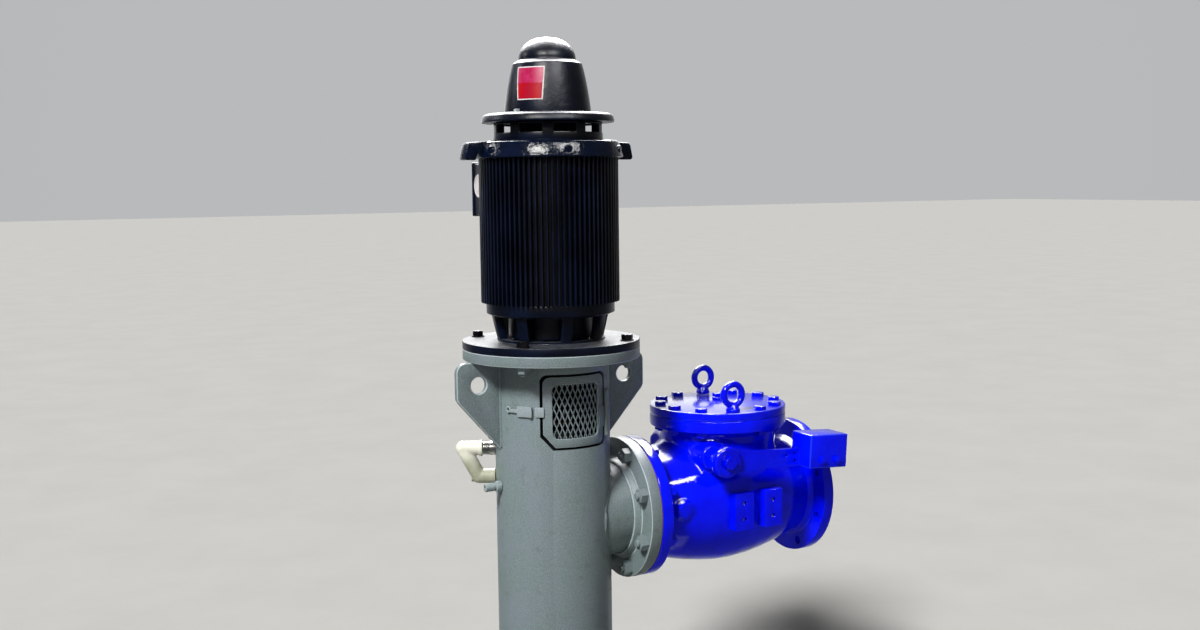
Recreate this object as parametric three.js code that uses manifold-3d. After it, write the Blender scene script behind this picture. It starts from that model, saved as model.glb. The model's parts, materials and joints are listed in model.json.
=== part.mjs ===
// Vertical turbine pump set, above-floor part: concrete plinth, fabricated discharge head with guarded
// seal windows, vertical hollow-shaft motor, and the lever-and-weight swing check valve on its discharge.
// Millimetres, +Z up. The pump axis is X = Y = 0, the floor is Z = 0, the water leaves along +X, and the
// front guard door faces -Y.
import * as THREE from 'three';
import { mergeVertices } from 'three/addons/utils/BufferGeometryUtils.js';
import Module from 'manifold-3d';

const wasm = await Module();
wasm.setup();

// Clearance between pieces that touch on the real pump
const GAP = 0.3;

// Heights above the floor
const PLINTH_TOP = 160;
const SOLE_TOP = PLINTH_TOP + 25;
const DISCHARGE_Z = 680;
const HEAD_FLANGE_BOTTOM = 1065;
const MOTOR_FOOT = 1090;
const MOTOR_FLANGE_TOP = 1108;

// Base
const PLINTH_HALF = 380;
const PLINTH_CHAMFER = 20;
const SOLE_HALF = 300;
const BASE_FLANGE = { radius: 254, thickness: 28 };

// Discharge head: a 10 in pipe column, 419 mm top flange and 8 in discharge flange
const COLUMN = { outer: 136.5, inner: 127 };
const TOP_FLANGE = { radius: 209.5, register: 95 };
const NOZZLE = { outer: 109.5, inner: 101.5 };
const FLANGE_8IN = { radius: 171.5, thickness: 28.6, hub: 120, hubLength: 16 };
const HEAD_FACE_X = 202.4;
const GASKET_THICKNESS = 2;

// Lifting ears, flat plates in the XZ plane
const EAR = { outerX: 243.5, shoulderZ: 977, footZ: 855, thickness: 16, corner: 24, holeX: 189.5, holeZ: 1011,
  holeRadius: 19.5 };

// Guard windows: half widths are measured flat, across the pipe. The pipe is welded up from two lengths,
// and the windows are cut in the upper one, down to just past the seam.
const WINDOW = { halfWidth: 82.5, seamZ: 868 };
const DOOR = { halfWidth: 77, bottom: 871, top: 1034, corner: 16, chamferX: 25, chamferZ: 31,
  thickness: 3.2 };
const DOOR_OPENING = { halfWidth: 58.5, bottom: 891, top: 1016, corner: 13 };
const DIAMOND = { columns: 9, rows: 4, pitchDeg: 5.7, pitchZ: 30.7, width: 9.4, height: 22.5 };
const HINGE = { angleDeg: 36.8, radius: 142, bottom: 886, low: 905.5, high: 958.5, top: 994, pin: 2.5,
  knuckle: 4.8, leaf: 1.8 };
const LATCH = { bottom: 942, top: 966, leverFrom: -76, plateFrom: -60.5, plateTo: -44, hookFrom: -41.6,
  hookTo: -33 };

// Shaft seal inside the head
const SHAFT_RADIUS = 19;
const SEAL_PLATE = { bottom: 815, top: 830 };

// Drain line, in the vertical plane that leaves the axis 27 degrees behind -X
const DRAIN = { planeDeg: 27, z: 847, nipple: 17, nippleEnd: 167.5, collar: 19, collarEnd: 174, pipe: 17.3,
  elbowS: 214.5, footS: 177, runZ: 779, branch: 9.5, branchS: 195.5, branchZ: 775 };
const TEST_PLUG = { z: 768, boss: 13, bossEnd: 150, head: 10, headEnd: 177 };

// Swing check valve, 8 in, 495 mm between faces
const VALVE_IN_X = HEAD_FACE_X + 2 * GAP + GASKET_THICKNESS;
const VALVE_LENGTH = 495;
const BONNET = { x: 462.5, radius: 171.4, neck: 145, bore: 128, flangeBottom: 864, flangeTop: 894,
  coverThickness: 20, boltCircle: 148 };
const EYEBOLT = { ring: 25.7, wire: 8.2, rise: 42.5, collar: 17.5, collarTop: 9, neck: 11, angleDeg: 72.5 };
const COVER_PLUG = { x: 489, y: 42, base: 13.5, baseTop: 7, half: 9.5, top: 16 };
const PIVOT = { x: 366, z: 806, shaft: 15.7, bore: 16.5 };
const LEVER = { droopDeg: 3.3, hub: 38, yBack: -184.3, yFront: -195.7, top: 24, bottom: -20, end: 306 };
const WEIGHT = { x0: 206, x1: 316, z0: -18, z1: 64, yBack: -167, yFront: -246 };

// Motor, heights above its flange top
const BASE_WINDOWS = { count: 8, firstDeg: 13.5, halfDeg: 17, bottom: 5, top: 59 };
const FINS = { count: 80, root: 150, tip: 163, bottom: 89.3, top: 423.2 };
const TOP_RING = { radius: 175, shoulder: 166, crown: 158, bottom: 423.5, top: 463 };
const NECK = { outer: 128, inner: 112, core: 80, top: 504, windows: 10, windowHalfDeg: 12,
  windowBottom: 481 };
const BRIM = { radius: 155.6, top: 523 };
const TERMINAL_BOX = { half: 80, back: 172, front: 268, bottom: 1396, top: 1523, lid: 7.7, lip: 3 };

const FINISH = {
  headGrey: { color: 0x858c88, metalness: 0.1, roughness: 0.5 },
  motorNavy: { color: 0x14161f, metalness: 0.2, roughness: 0.4 },
  valveBlue: { color: 0x0a1ed0, metalness: 0.1, roughness: 0.3 },
  bareSteel: { color: 0x8b8d8c, metalness: 0.8, roughness: 0.4 },
  bronze: { color: 0x9c7a42, metalness: 0.8, roughness: 0.4 },
  pvc: { color: 0xe8e6da, metalness: 0.0, roughness: 0.4 },
  gasketRed: { color: 0x7d3b2a, metalness: 0.0, roughness: 0.9 },
  concrete: { color: 0xa9a79e, metalness: 0.0, roughness: 0.9 },
};

const pump = new THREE.Group();
const deg = THREE.MathUtils.degToRad;

// Solids

// A closed geometry as a solid: shared vertices merged, faces with no area dropped, faces turned outwards
function solid(geometry) {
  const bare = geometry.clone();
  bare.deleteAttribute('normal');
  bare.deleteAttribute('uv');
  const merged = mergeVertices(bare, 1e-4);
  const corners = merged.index.array;
  const triangles = [];
  for (let i = 0; i < corners.length; i += 3) {
    const [a, b, c] = corners.slice(i, i + 3);
    if (a !== b && b !== c && c !== a) triangles.push(a, b, c);
  }
  const build = (triVerts) => new wasm.Manifold(new wasm.Mesh({
    numProp: 3,
    vertProperties: new Float32Array(merged.attributes.position.array),
    triVerts: new Uint32Array(triVerts),
  }));
  const first = build(triangles);
  if (first.volume() > 0) return first;
  for (let i = 0; i < triangles.length; i += 3) {
    [triangles[i + 1], triangles[i + 2]] = [triangles[i + 2], triangles[i + 1]];
  }
  return build(triangles);
}

function join(...parts) {
  return parts.reduce((whole, part) => whole.add(part));
}

function cut(body, ...tools) {
  return tools.reduce((rest, tool) => rest.subtract(tool), body);
}

function toGeometry(body) {
  const mesh = body.getMesh();
  const geometry = new THREE.BufferGeometry();
  geometry.setAttribute('position', new THREE.BufferAttribute(mesh.vertProperties, 3));
  geometry.setIndex(new THREE.BufferAttribute(mesh.triVerts, 1));
  return geometry;
}

function addPiece(name, body, finish, parent = pump) {
  const mesh = new THREE.Mesh(toGeometry(body), new THREE.MeshStandardMaterial(FINISH[finish]));
  mesh.name = name;
  parent.add(mesh);
  return mesh;
}

// A turned shape about +Z from a closed profile of [radius, z]
function turned(profile, segments = 36, startAngle = 0) {
  const points = [...profile, profile[0]].map(([r, z]) => new THREE.Vector2(r, z));
  return solid(new THREE.LatheGeometry(points, segments, startAngle).rotateX(Math.PI / 2));
}

// A turned shape about +X through the discharge centreline, from a closed profile of [radius, x]
function turnedX(profile, segments = 32) {
  const points = [...profile, profile[0]].map(([r, x]) => new THREE.Vector2(r, x));
  const geometry = new THREE.LatheGeometry(points, segments).rotateX(Math.PI / 2).rotateY(Math.PI / 2);
  return solid(geometry.translate(0, 0, DISCHARGE_Z));
}

function rod(radius, length, segments) {
  return new THREE.CylinderGeometry(radius, radius, length, segments);
}

function cylinderZ(radius, z0, z1, x = 0, y = 0, segments = 24) {
  return solid(rod(radius, z1 - z0, segments).rotateX(Math.PI / 2).translate(x, y, (z0 + z1) / 2));
}

function cylinderX(radius, x0, x1, y, z, segments = 24) {
  return solid(rod(radius, x1 - x0, segments).rotateZ(Math.PI / 2).translate((x0 + x1) / 2, y, z));
}

function cylinderY(radius, y0, y1, x, z, segments = 24) {
  return solid(rod(radius, y1 - y0, segments).translate(x, (y0 + y1) / 2, z));
}

function block(x0, x1, y0, y1, z0, z1) {
  const box = new THREE.BoxGeometry(x1 - x0, y1 - y0, z1 - z0);
  return solid(box.translate((x0 + x1) / 2, (y0 + y1) / 2, (z0 + z1) / 2));
}

function outline(points) {
  return new THREE.Shape(points.map(([u, v]) => new THREE.Vector2(u, v)));
}

// A flat outline in XZ, from y0 to y1
function plateXZ(shape, y0, y1, curveSegments = 6) {
  const geometry = new THREE.ExtrudeGeometry(shape, { depth: y1 - y0, bevelEnabled: false, curveSegments });
  return solid(geometry.rotateX(Math.PI / 2).translate(0, y1, 0));
}

// A flat outline in XY, from z0 to z1
function plateXY(shape, z0, z1, curveSegments = 12) {
  const geometry = new THREE.ExtrudeGeometry(shape, { depth: z1 - z0, bevelEnabled: false, curveSegments });
  return solid(geometry.translate(0, 0, z0));
}

// A stretch of rolled sheet about the pump axis: angles are measured from -Y towards +X
function rolledSheet(inner, outer, fromDeg, toDeg, z0, z1, segments = 20) {
  const shape = new THREE.Shape();
  shape.absarc(0, 0, outer, deg(fromDeg - 90), deg(toDeg - 90), false);
  shape.absarc(0, 0, inner, deg(toDeg - 90), deg(fromDeg - 90), true);
  return plateXY(shape, z0, z1, segments);
}

// The guard door's outline in XZ: three round corners and a large cut corner at lower left, grown by a margin
function doorOutline(margin) {
  const half = DOOR.halfWidth + margin;
  const top = DOOR.top + margin;
  const bottom = DOOR.bottom - margin;
  const shape = new THREE.Shape();
  shape.moveTo(-half + DOOR.chamferX, bottom);
  shape.lineTo(half - DOOR.corner, bottom);
  shape.absarc(half - DOOR.corner, bottom + DOOR.corner, DOOR.corner, -Math.PI / 2, 0, false);
  shape.lineTo(half, top - DOOR.corner);
  shape.absarc(half - DOOR.corner, top - DOOR.corner, DOOR.corner, 0, Math.PI / 2, false);
  shape.absarc(-half + DOOR.corner, top - DOOR.corner, DOOR.corner, Math.PI / 2, Math.PI, false);
  shape.lineTo(-half, bottom + DOOR.chamferZ);
  return shape;
}

function roundedRectangle(half, bottom, top, corner) {
  const shape = new THREE.Shape();
  shape.absarc(half - corner, bottom + corner, corner, -Math.PI / 2, 0, false);
  shape.absarc(half - corner, top - corner, corner, 0, Math.PI / 2, false);
  shape.absarc(-half + corner, top - corner, corner, Math.PI / 2, Math.PI, false);
  shape.absarc(-half + corner, bottom + corner, corner, Math.PI, 1.5 * Math.PI, false);
  return shape;
}

// Base

function addBase() {
  const corner = Math.SQRT2;
  const plinth = turned([
    [0, 0],
    [PLINTH_HALF * corner, 0],
    [PLINTH_HALF * corner, PLINTH_TOP - PLINTH_CHAMFER],
    [(PLINTH_HALF - PLINTH_CHAMFER) * corner, PLINTH_TOP],
    [0, PLINTH_TOP],
  ], 4, Math.PI / 4);
  addPiece('concrete_plinth', plinth, 'concrete');
  const sole = block(-SOLE_HALF, SOLE_HALF, -SOLE_HALF, SOLE_HALF, PLINTH_TOP + GAP, SOLE_TOP);
  addPiece('sole_plate', sole, 'headGrey');
  const flangeBottom = SOLE_TOP + GAP;
  const flangeTop = flangeBottom + BASE_FLANGE.thickness;
  const bore = COLUMN.outer + GAP;
  addPiece('head_base_flange', turned([
    [bore, flangeBottom],
    [BASE_FLANGE.radius, flangeBottom],
    [BASE_FLANGE.radius, flangeTop],
    [bore, flangeTop],
  ], 40), 'headGrey');
}

// Discharge head

function addColumn() {
  const pipe = turned([
    [COLUMN.inner, SOLE_TOP + GAP],
    [COLUMN.outer, SOLE_TOP + GAP],
    [COLUMN.outer, HEAD_FLANGE_BOTTOM - GAP],
    [COLUMN.inner, HEAD_FLANGE_BOTTOM - GAP],
  ], 40);
  const window = doorOutline(WINDOW.halfWidth - DOOR.halfWidth);
  const front = plateXZ(window, -COLUMN.outer - 10, -COLUMN.inner / 2);
  const rear = front.rotate([0, 0, 180]);
  const outlet = cylinderX(NOZZLE.inner, 0, COLUMN.outer + 10, 0, DISCHARGE_Z, 32);
  const reach = COLUMN.outer + 10;
  const above = block(-reach, reach, -reach, reach, WINDOW.seamZ, MOTOR_FOOT);
  const below = block(-reach, reach, -reach, reach, 0, WINDOW.seamZ + GAP);
  addPiece('head_column_lower', cut(pipe, front, rear, outlet, above), 'headGrey');
  addPiece('head_column_upper', cut(pipe, front, rear, below), 'headGrey');
}

function addTopFlange() {
  addPiece('head_top_flange', turned([
    [TOP_FLANGE.register, HEAD_FLANGE_BOTTOM],
    [TOP_FLANGE.radius, HEAD_FLANGE_BOTTOM],
    [TOP_FLANGE.radius, MOTOR_FOOT - GAP],
    [TOP_FLANGE.register, MOTOR_FOOT - GAP],
  ], 40), 'headGrey');
}

function addEar(name, side) {
  const inner = COLUMN.outer + GAP;
  const top = HEAD_FLANGE_BOTTOM - GAP;
  const shape = new THREE.Shape();
  shape.moveTo(side * inner, EAR.footZ);
  shape.lineTo(side * inner, top);
  shape.lineTo(side * (EAR.outerX - EAR.corner), top);
  const corner = side > 0 ? [Math.PI / 2, 0, true] : [Math.PI / 2, Math.PI, false];
  shape.absarc(side * (EAR.outerX - EAR.corner), top - EAR.corner, EAR.corner, ...corner);
  shape.lineTo(side * EAR.outerX, EAR.shoulderZ);
  const plate = plateXZ(shape, -EAR.thickness / 2, EAR.thickness / 2);
  const hole = cylinderY(EAR.holeRadius, -EAR.thickness, EAR.thickness, side * EAR.holeX, EAR.holeZ, 24);
  addPiece(name, cut(plate, hole), 'headGrey');
}

function addDischarge() {
  const nozzle = cylinderX(NOZZLE.outer, 60, HEAD_FACE_X, 0, DISCHARGE_Z, 32);
  const bore = cylinderX(NOZZLE.inner, 50, HEAD_FACE_X + 10, 0, DISCHARGE_Z, 32);
  const column = cylinderZ(COLUMN.outer + GAP, 0, MOTOR_FOOT, 0, 0, 40);
  addPiece('discharge_nozzle', cut(nozzle, bore, column), 'headGrey');
  const seat = NOZZLE.outer + GAP;
  const back = HEAD_FACE_X - FLANGE_8IN.thickness;
  const flange = turnedX([
    [seat, back - FLANGE_8IN.hubLength],
    [FLANGE_8IN.hub - 3, back - FLANGE_8IN.hubLength],
    [FLANGE_8IN.hub, back],
    [FLANGE_8IN.radius, back],
    [FLANGE_8IN.radius, HEAD_FACE_X],
    [seat, HEAD_FACE_X],
  ]);
  addPiece('discharge_flange', flange, 'headGrey');
  addPiece('flange_gasket', turnedX([
    [NOZZLE.inner, HEAD_FACE_X + GAP],
    [FLANGE_8IN.radius - 2, HEAD_FACE_X + GAP],
    [FLANGE_8IN.radius - 2, HEAD_FACE_X + GAP + GASKET_THICKNESS],
    [NOZZLE.inner, HEAD_FACE_X + GAP + GASKET_THICKNESS],
  ]), 'gasketRed');
}

// Seal plate, stuffing box, gland and shaft, seen through the guard mesh

function addShaftSeal() {
  const boxRadius = 56;
  addPiece('seal_plate', turned([
    [boxRadius + GAP, SEAL_PLATE.bottom],
    [COLUMN.inner - GAP, SEAL_PLATE.bottom],
    [COLUMN.inner - GAP, SEAL_PLATE.top],
    [boxRadius + GAP, SEAL_PLATE.top],
  ], 40), 'headGrey');
  const shaftBore = SHAFT_RADIUS + 2.5;
  const packingBore = 30;
  const boxTop = 890;
  const collar = SEAL_PLATE.top + GAP;
  addPiece('stuffing_box', turned([
    [shaftBore, 790],
    [boxRadius, 790],
    [boxRadius, collar],
    [boxRadius + 28, collar],
    [boxRadius + 28, collar + 16],
    [boxRadius, collar + 16],
    [boxRadius, boxTop],
    [packingBore, boxTop],
    [packingBore, 820],
    [shaftBore, 820],
  ], 24), 'headGrey');
  const flangeBottom = boxTop + 12;
  const gland = turned([
    [shaftBore, 850],
    [packingBore - GAP, 850],
    [packingBore - GAP, flangeBottom],
    [54, flangeBottom],
    [54, flangeBottom + 14],
    [shaftBore, flangeBottom + 14],
  ], 24);
  const stud = (side) => cylinderZ(6, boxTop + GAP, flangeBottom + 34, side * 43, 0, 8);
  addPiece('packing_gland', join(gland, stud(1), stud(-1)), 'bronze');
}

function addShaft() {
  addPiece('pump_shaft', cylinderZ(SHAFT_RADIUS, 760, MOTOR_FLANGE_TOP + 32), 'bareSteel');
  const bore = SHAFT_RADIUS + GAP;
  addPiece('shaft_coupling', turned([
    [bore, 958],
    [34, 958],
    [34, 988],
    [62, 988],
    [62, 1022],
    [34, 1022],
    [34, 1052],
    [bore, 1052],
  ], 24), 'bareSteel');
}

// Guard doors: built at the front, and turned half round for the rear

function doorSheet() {
  const sheet = rolledSheet(COLUMN.outer - DOOR.thickness, COLUMN.outer, -36, 36, DOOR.bottom, DOOR.top, 14);
  const trimmed = sheet.intersect(plateXZ(doorOutline(0), -COLUMN.outer - 10, -COLUMN.inner / 2));
  const { halfWidth, bottom, top, corner } = DOOR_OPENING;
  const opening = roundedRectangle(halfWidth, bottom, top, corner);
  return cut(trimmed, plateXZ(opening, -COLUMN.outer - 10, -COLUMN.inner / 2));
}

function meshSheet() {
  const margin = 7;
  const outer = COLUMN.outer - DOOR.thickness - GAP;
  const bottom = DOOR_OPENING.bottom - margin;
  const top = DOOR_OPENING.top + margin;
  const reach = DIAMOND.columns * DIAMOND.pitchDeg / 2;
  const sheet = rolledSheet(outer - 1.8, outer, -reach, reach, bottom, top, DIAMOND.columns);
  const diamond = outline([
    [-DIAMOND.width / 2, 0],
    [0, -DIAMOND.height / 2],
    [DIAMOND.width / 2, 0],
    [0, DIAMOND.height / 2],
  ]);
  const cutter = plateXZ(diamond, -COLUMN.outer - 5, -COLUMN.inner / 2);
  const middle = (DOOR_OPENING.bottom + DOOR_OPENING.top) / 2;
  const holes = [];
  for (let row = 0; row < 2 * DIAMOND.rows - 1; row += 1) {
    const columns = DIAMOND.columns - (row % 2);
    for (let column = 0; column < columns; column += 1) {
      const turn = (column - (columns - 1) / 2) * DIAMOND.pitchDeg;
      const rise = (row - DIAMOND.rows + 1) * DIAMOND.pitchZ / 2;
      const inside = Math.abs(rise) + DIAMOND.height / 2 < (top - bottom) / 2 - 1;
      if (inside) holes.push(cutter.rotate([0, 0, turn]).translate([0, 0, middle + rise]));
    }
  }
  return cut(sheet, wasm.Manifold.union(holes));
}

function hingeParts() {
  const { angleDeg, low, high } = HINGE;
  const x = HINGE.radius * Math.sin(deg(angleDeg));
  const y = -HINGE.radius * Math.cos(deg(angleDeg));
  const surface = COLUMN.outer + GAP;
  const leaf = (from, to, z0, z1) => rolledSheet(surface, surface + HINGE.leaf, from, to, z0, z1, 3);
  const pin = cylinderZ(HINGE.pin, HINGE.bottom, HINGE.top, x, y, 8);
  const knuckle = (z0, z1) => cylinderZ(HINGE.knuckle, z0, z1, x, y, 12);
  const fixed = join(
    leaf(angleDeg, angleDeg + 5, HINGE.bottom, low),
    leaf(angleDeg, angleDeg + 5, high, HINGE.top),
    leaf(angleDeg + 3, angleDeg + 9, HINGE.bottom, HINGE.top),
    knuckle(HINGE.bottom, low),
    knuckle(high, HINGE.top),
    pin,
  );
  const clearance = cylinderZ(HINGE.pin + 0.4, HINGE.bottom - 5, HINGE.top + 5, x, y, 8);
  const moving = cut(
    join(leaf(angleDeg - 10, angleDeg, low + 1, high - 1), knuckle(low + 1, high - 1)),
    clearance,
  );
  return { fixed, moving };
}

function latchParts() {
  const surface = COLUMN.outer + GAP;
  const { bottom, top, leverFrom, plateFrom, plateTo, hookFrom, hookTo } = LATCH;
  const plate = rolledSheet(surface, surface + 4.5, plateFrom, plateTo, bottom, top, 3);
  const middle = (bottom + top) / 2;
  const lever = rolledSheet(surface + 1, surface + 6, leverFrom, plateFrom + 2, middle - 6, middle + 8, 3);
  const hook = rolledSheet(surface, surface + 3, hookFrom, hookTo, bottom + 1, top - 1, 3);
  return { base: join(plate, lever), hook };
}

function addGuard(side, turnDeg) {
  const place = (body) => body.rotate([0, 0, turnDeg]);
  const hinge = hingeParts();
  const latch = latchParts();
  addPiece(`${side}_guard_door`, place(doorSheet()), 'headGrey');
  addPiece(`${side}_guard_mesh`, place(meshSheet()), 'headGrey');
  addPiece(`${side}_guard_hinge_leaf`, place(hinge.moving), 'headGrey');
  addPiece(`${side}_guard_latch_hook`, place(latch.hook), 'bareSteel');
  addPiece(`${side}_guard_hinge_base`, place(hinge.fixed), 'headGrey');
  addPiece(`${side}_guard_latch`, place(latch.base), 'bareSteel');
}

// Seal drain and test plug, at the back left of the column

function addDrain() {
  const line = new THREE.Group();
  line.rotation.z = deg(180 - DRAIN.planeDeg);
  pump.add(line);
  const start = COLUMN.outer + GAP;
  const nipple = cylinderX(DRAIN.nipple, start, DRAIN.nippleEnd, 0, DRAIN.z, 16);
  addPiece('drain_nipple', nipple, 'bareSteel', line);
  const socketStart = DRAIN.nippleEnd + GAP;
  const ball = (radius, s, z) => solid(new THREE.SphereGeometry(radius, 12, 8).translate(s, 0, z));
  const { pipe, elbowS, footS, runZ } = DRAIN;
  const diagonal = rod(pipe, Math.hypot(elbowS - footS, DRAIN.z - runZ), 12).rotateX(Math.PI / 2);
  diagonal.rotateY(Math.atan2(elbowS - footS, DRAIN.z - runZ));
  diagonal.translate((elbowS + footS) / 2, 0, (DRAIN.z + runZ) / 2);
  const trap = join(
    cylinderX(DRAIN.collar, socketStart, DRAIN.collarEnd, 0, DRAIN.z, 12),
    cylinderX(pipe, DRAIN.collarEnd - 1, elbowS, 0, DRAIN.z, 12),
    ball(pipe, elbowS, DRAIN.z),
    solid(diagonal),
    ball(pipe, footS, runZ),
    cylinderX(pipe, COLUMN.outer + 4, footS, 0, runZ, 12),
    cylinderX(DRAIN.branch, footS, DRAIN.branchS, 0, DRAIN.branchZ, 12),
  );
  addPiece('drain_trap', trap, 'pvc', line);
  const plug = join(
    cylinderX(TEST_PLUG.boss, -TEST_PLUG.bossEnd, -start, 0, TEST_PLUG.z, 16),
    cylinderX(TEST_PLUG.head, -TEST_PLUG.headEnd, -TEST_PLUG.bossEnd + 1, 0, TEST_PLUG.z, 16),
  );
  addPiece('test_plug', plug, 'bareSteel');
}

// Check valve

function addValveBody() {
  const end = VALVE_IN_X + VALVE_LENGTH;
  const flange = FLANGE_8IN.thickness;
  const outside = turnedX([
    [0, VALVE_IN_X], [FLANGE_8IN.radius, VALVE_IN_X], [FLANGE_8IN.radius, VALVE_IN_X + flange],
    [122, VALVE_IN_X + flange + 2], [132, 262], [143, 300], [152, 340], [158, 380], [162.5, 420],
    [162.5, 460], [158, 505], [151, 545], [142, 582], [132, 620], [122, 655],
    [FLANGE_8IN.radius, end - flange - 4], [FLANGE_8IN.radius, end], [0, end],
  ]);
  const neck = cylinderZ(BONNET.neck, DISCHARGE_Z, BONNET.flangeBottom + 1, BONNET.x, 0, 32);
  const { flangeBottom, flangeTop } = BONNET;
  const rim = cylinderZ(BONNET.radius, flangeBottom, flangeTop, BONNET.x, 0, 32);
  const shaftBoss = cylinderY(33, -140, 128, PIVOT.x, PIVOT.z, 24);
  const plugBoss = cylinderY(22, -150, -80, 280, 688, 24);
  const pad = (x) => block(x - 26.5, x + 26.5, -180, -90, 628, 720);
  const padHole = (x, z) => cylinderY(5.5, -185, -160, x, z, 12);
  const inside = turnedX([
    [0, VALVE_IN_X - 5], [NOZZLE.inner, VALVE_IN_X - 5], [NOZZLE.inner, 290], [113, 290], [113, 306],
    [128, 306], [138, 340], [149, 420], [149, 460], [143, 510], [128, 582], [104, 645],
    [NOZZLE.inner, 655], [NOZZLE.inner, end + 5], [0, end + 5],
  ]);
  const access = cylinderZ(BONNET.bore, DISCHARGE_Z, flangeTop + 5, BONNET.x, 0, 32);
  const shaftBore = cylinderY(PIVOT.bore, -145, 112, PIVOT.x, PIVOT.z, 24);
  const padX = [427, 511];
  const whole = join(outside, neck, rim, shaftBoss, plugBoss, ...padX.map(pad));
  const holes = padX.flatMap((x) => [padHole(x, 654), padHole(x, 694)]);
  addPiece('valve_body', cut(whole, inside, access, shaftBore, ...holes), 'valveBlue');
  addPiece('valve_seat_ring', turnedX([
    [98, 290 + GAP], [113 - GAP, 290 + GAP], [113 - GAP, 304], [98, 304],
  ]), 'bronze');
}

function addCover() {
  const bottom = BONNET.flangeTop + GAP;
  const top = bottom + BONNET.coverThickness;
  const cover = cylinderZ(BONNET.radius, bottom, top, BONNET.x, 0, 32);
  addPiece('valve_cover', cover, 'valveBlue');
  const { ring, wire, rise, collar, collarTop, neck } = EYEBOLT;
  const eyebolt = (name, angleDeg) => {
    const x = BONNET.x + BONNET.boltCircle * Math.cos(deg(angleDeg));
    const y = BONNET.boltCircle * Math.sin(deg(angleDeg));
    const loop = new THREE.TorusGeometry(ring, wire, 8, 18).rotateX(Math.PI / 2);
    const body = join(
      solid(loop.translate(x, y, top + rise)),
      turned([
        [0, top + GAP], [collar, top + GAP], [collar, top + collarTop],
        [neck, top + rise - ring], [0, top + rise - ring],
      ], 16).translate([x, y, 0]),
    );
    addPiece(name, body, 'valveBlue');
  };
  eyebolt('valve_eyebolt_front', EYEBOLT.angleDeg + 180);
  eyebolt('valve_eyebolt_rear', EYEBOLT.angleDeg);
  const { x, y, base, baseTop, half } = COVER_PLUG;
  const plug = join(
    cylinderZ(base, top + GAP, top + baseTop, x, y, 16),
    block(x - half, x + half, y - half, y + half, top + baseTop - 1, top + COVER_PLUG.top),
  );
  addPiece('valve_cover_plug', plug, 'valveBlue');
}

function hexagonY(acrossFlats, y0, y1, x, z) {
  const corner = acrossFlats / Math.sqrt(3);
  return solid(rod(corner, y1 - y0, 6).translate(x, (y0 + y1) / 2, z));
}

function addLever() {
  const nut = cut(
    hexagonY(52, -168, -140 - GAP, PIVOT.x, PIVOT.z),
    cylinderY(PIVOT.bore, -175, -130, PIVOT.x, PIVOT.z, 24),
  );
  addPiece('hinge_packing_nut', nut, 'valveBlue');

  const lever = new THREE.Group();
  lever.position.set(PIVOT.x, 0, PIVOT.z);
  lever.rotation.y = deg(LEVER.droopDeg);
  pump.add(lever);
  addPiece('hinge_shaft', cylinderY(PIVOT.shaft, -216, 106, 0, 0, 24), 'valveBlue', lever);
  const arm = plateXZ(outline([
    [0, -LEVER.hub + 2], [90, LEVER.bottom], [LEVER.end, LEVER.bottom],
    [LEVER.end, LEVER.top], [78, LEVER.top], [0, LEVER.hub - 1],
  ]), LEVER.yFront, LEVER.yBack);
  const hub = cylinderY(LEVER.hub, -206, -178, 0, 0, 32);
  const bore = cylinderY(PIVOT.shaft + GAP, -230, -150, 0, 0, 24);
  addPiece('lever_arm', cut(join(arm, hub), bore), 'valveBlue', lever);
  const weight = block(WEIGHT.x0, WEIGHT.x1, WEIGHT.yFront, WEIGHT.yBack, WEIGHT.z0, WEIGHT.z1);
  const slot = block(WEIGHT.x0 - 5, LEVER.end + GAP, LEVER.yFront - GAP, LEVER.yBack + GAP,
    WEIGHT.z0 - 10, LEVER.top + GAP);
  addPiece('lever_weight', cut(weight, slot), 'valveBlue', lever);
}

function addDisc() {
  const face = 304 + GAP;
  const disc = turnedX([[0, face], [108, face], [108, face + 16], [40, face + 24], [0, face + 24]]);
  const arm = plateXZ(outline([
    [342, 806], [face + 14, 770], [face + 14, 640], [face + 44, 640], [face + 52, 700], [390, 806],
  ]), -18, 18);
  const hub = cylinderY(28, -30, 30, PIVOT.x, PIVOT.z, 24);
  const bore = cylinderY(PIVOT.shaft + GAP, -40, 40, PIVOT.x, PIVOT.z, 24);
  addPiece('valve_disc', cut(join(disc, arm, hub), bore), 'bronze');
}

// Motor

function addMotorBase() {
  const z = (height) => MOTOR_FLANGE_TOP + height;
  const shaftBore = SHAFT_RADIUS + 0.5;
  const shell = turned([
    [shaftBore, z(6)], [100, z(6)], [100, z(64)], [120, z(64)], [108, z(0)], [90, z(0)],
    [90, MOTOR_FOOT], [TOP_FLANGE.radius, MOTOR_FOOT], [TOP_FLANGE.radius, z(0)], [128, z(0)],
    [128, z(4)], [141, z(61)], [151, z(64)], [151, z(89)], [shaftBore, z(89)],
  ], 40);
  const windows = [];
  const { count, firstDeg, halfDeg, bottom, top } = BASE_WINDOWS;
  for (let k = 0; k < count; k += 1) {
    const window = rolledSheet(104, 160, -halfDeg, halfDeg, z(bottom), z(top), 2);
    windows.push(window.rotate([0, 0, firstDeg + k * 360 / count]));
  }
  addPiece('motor_base', cut(shell, wasm.Manifold.union(windows)), 'motorNavy');
}

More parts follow.
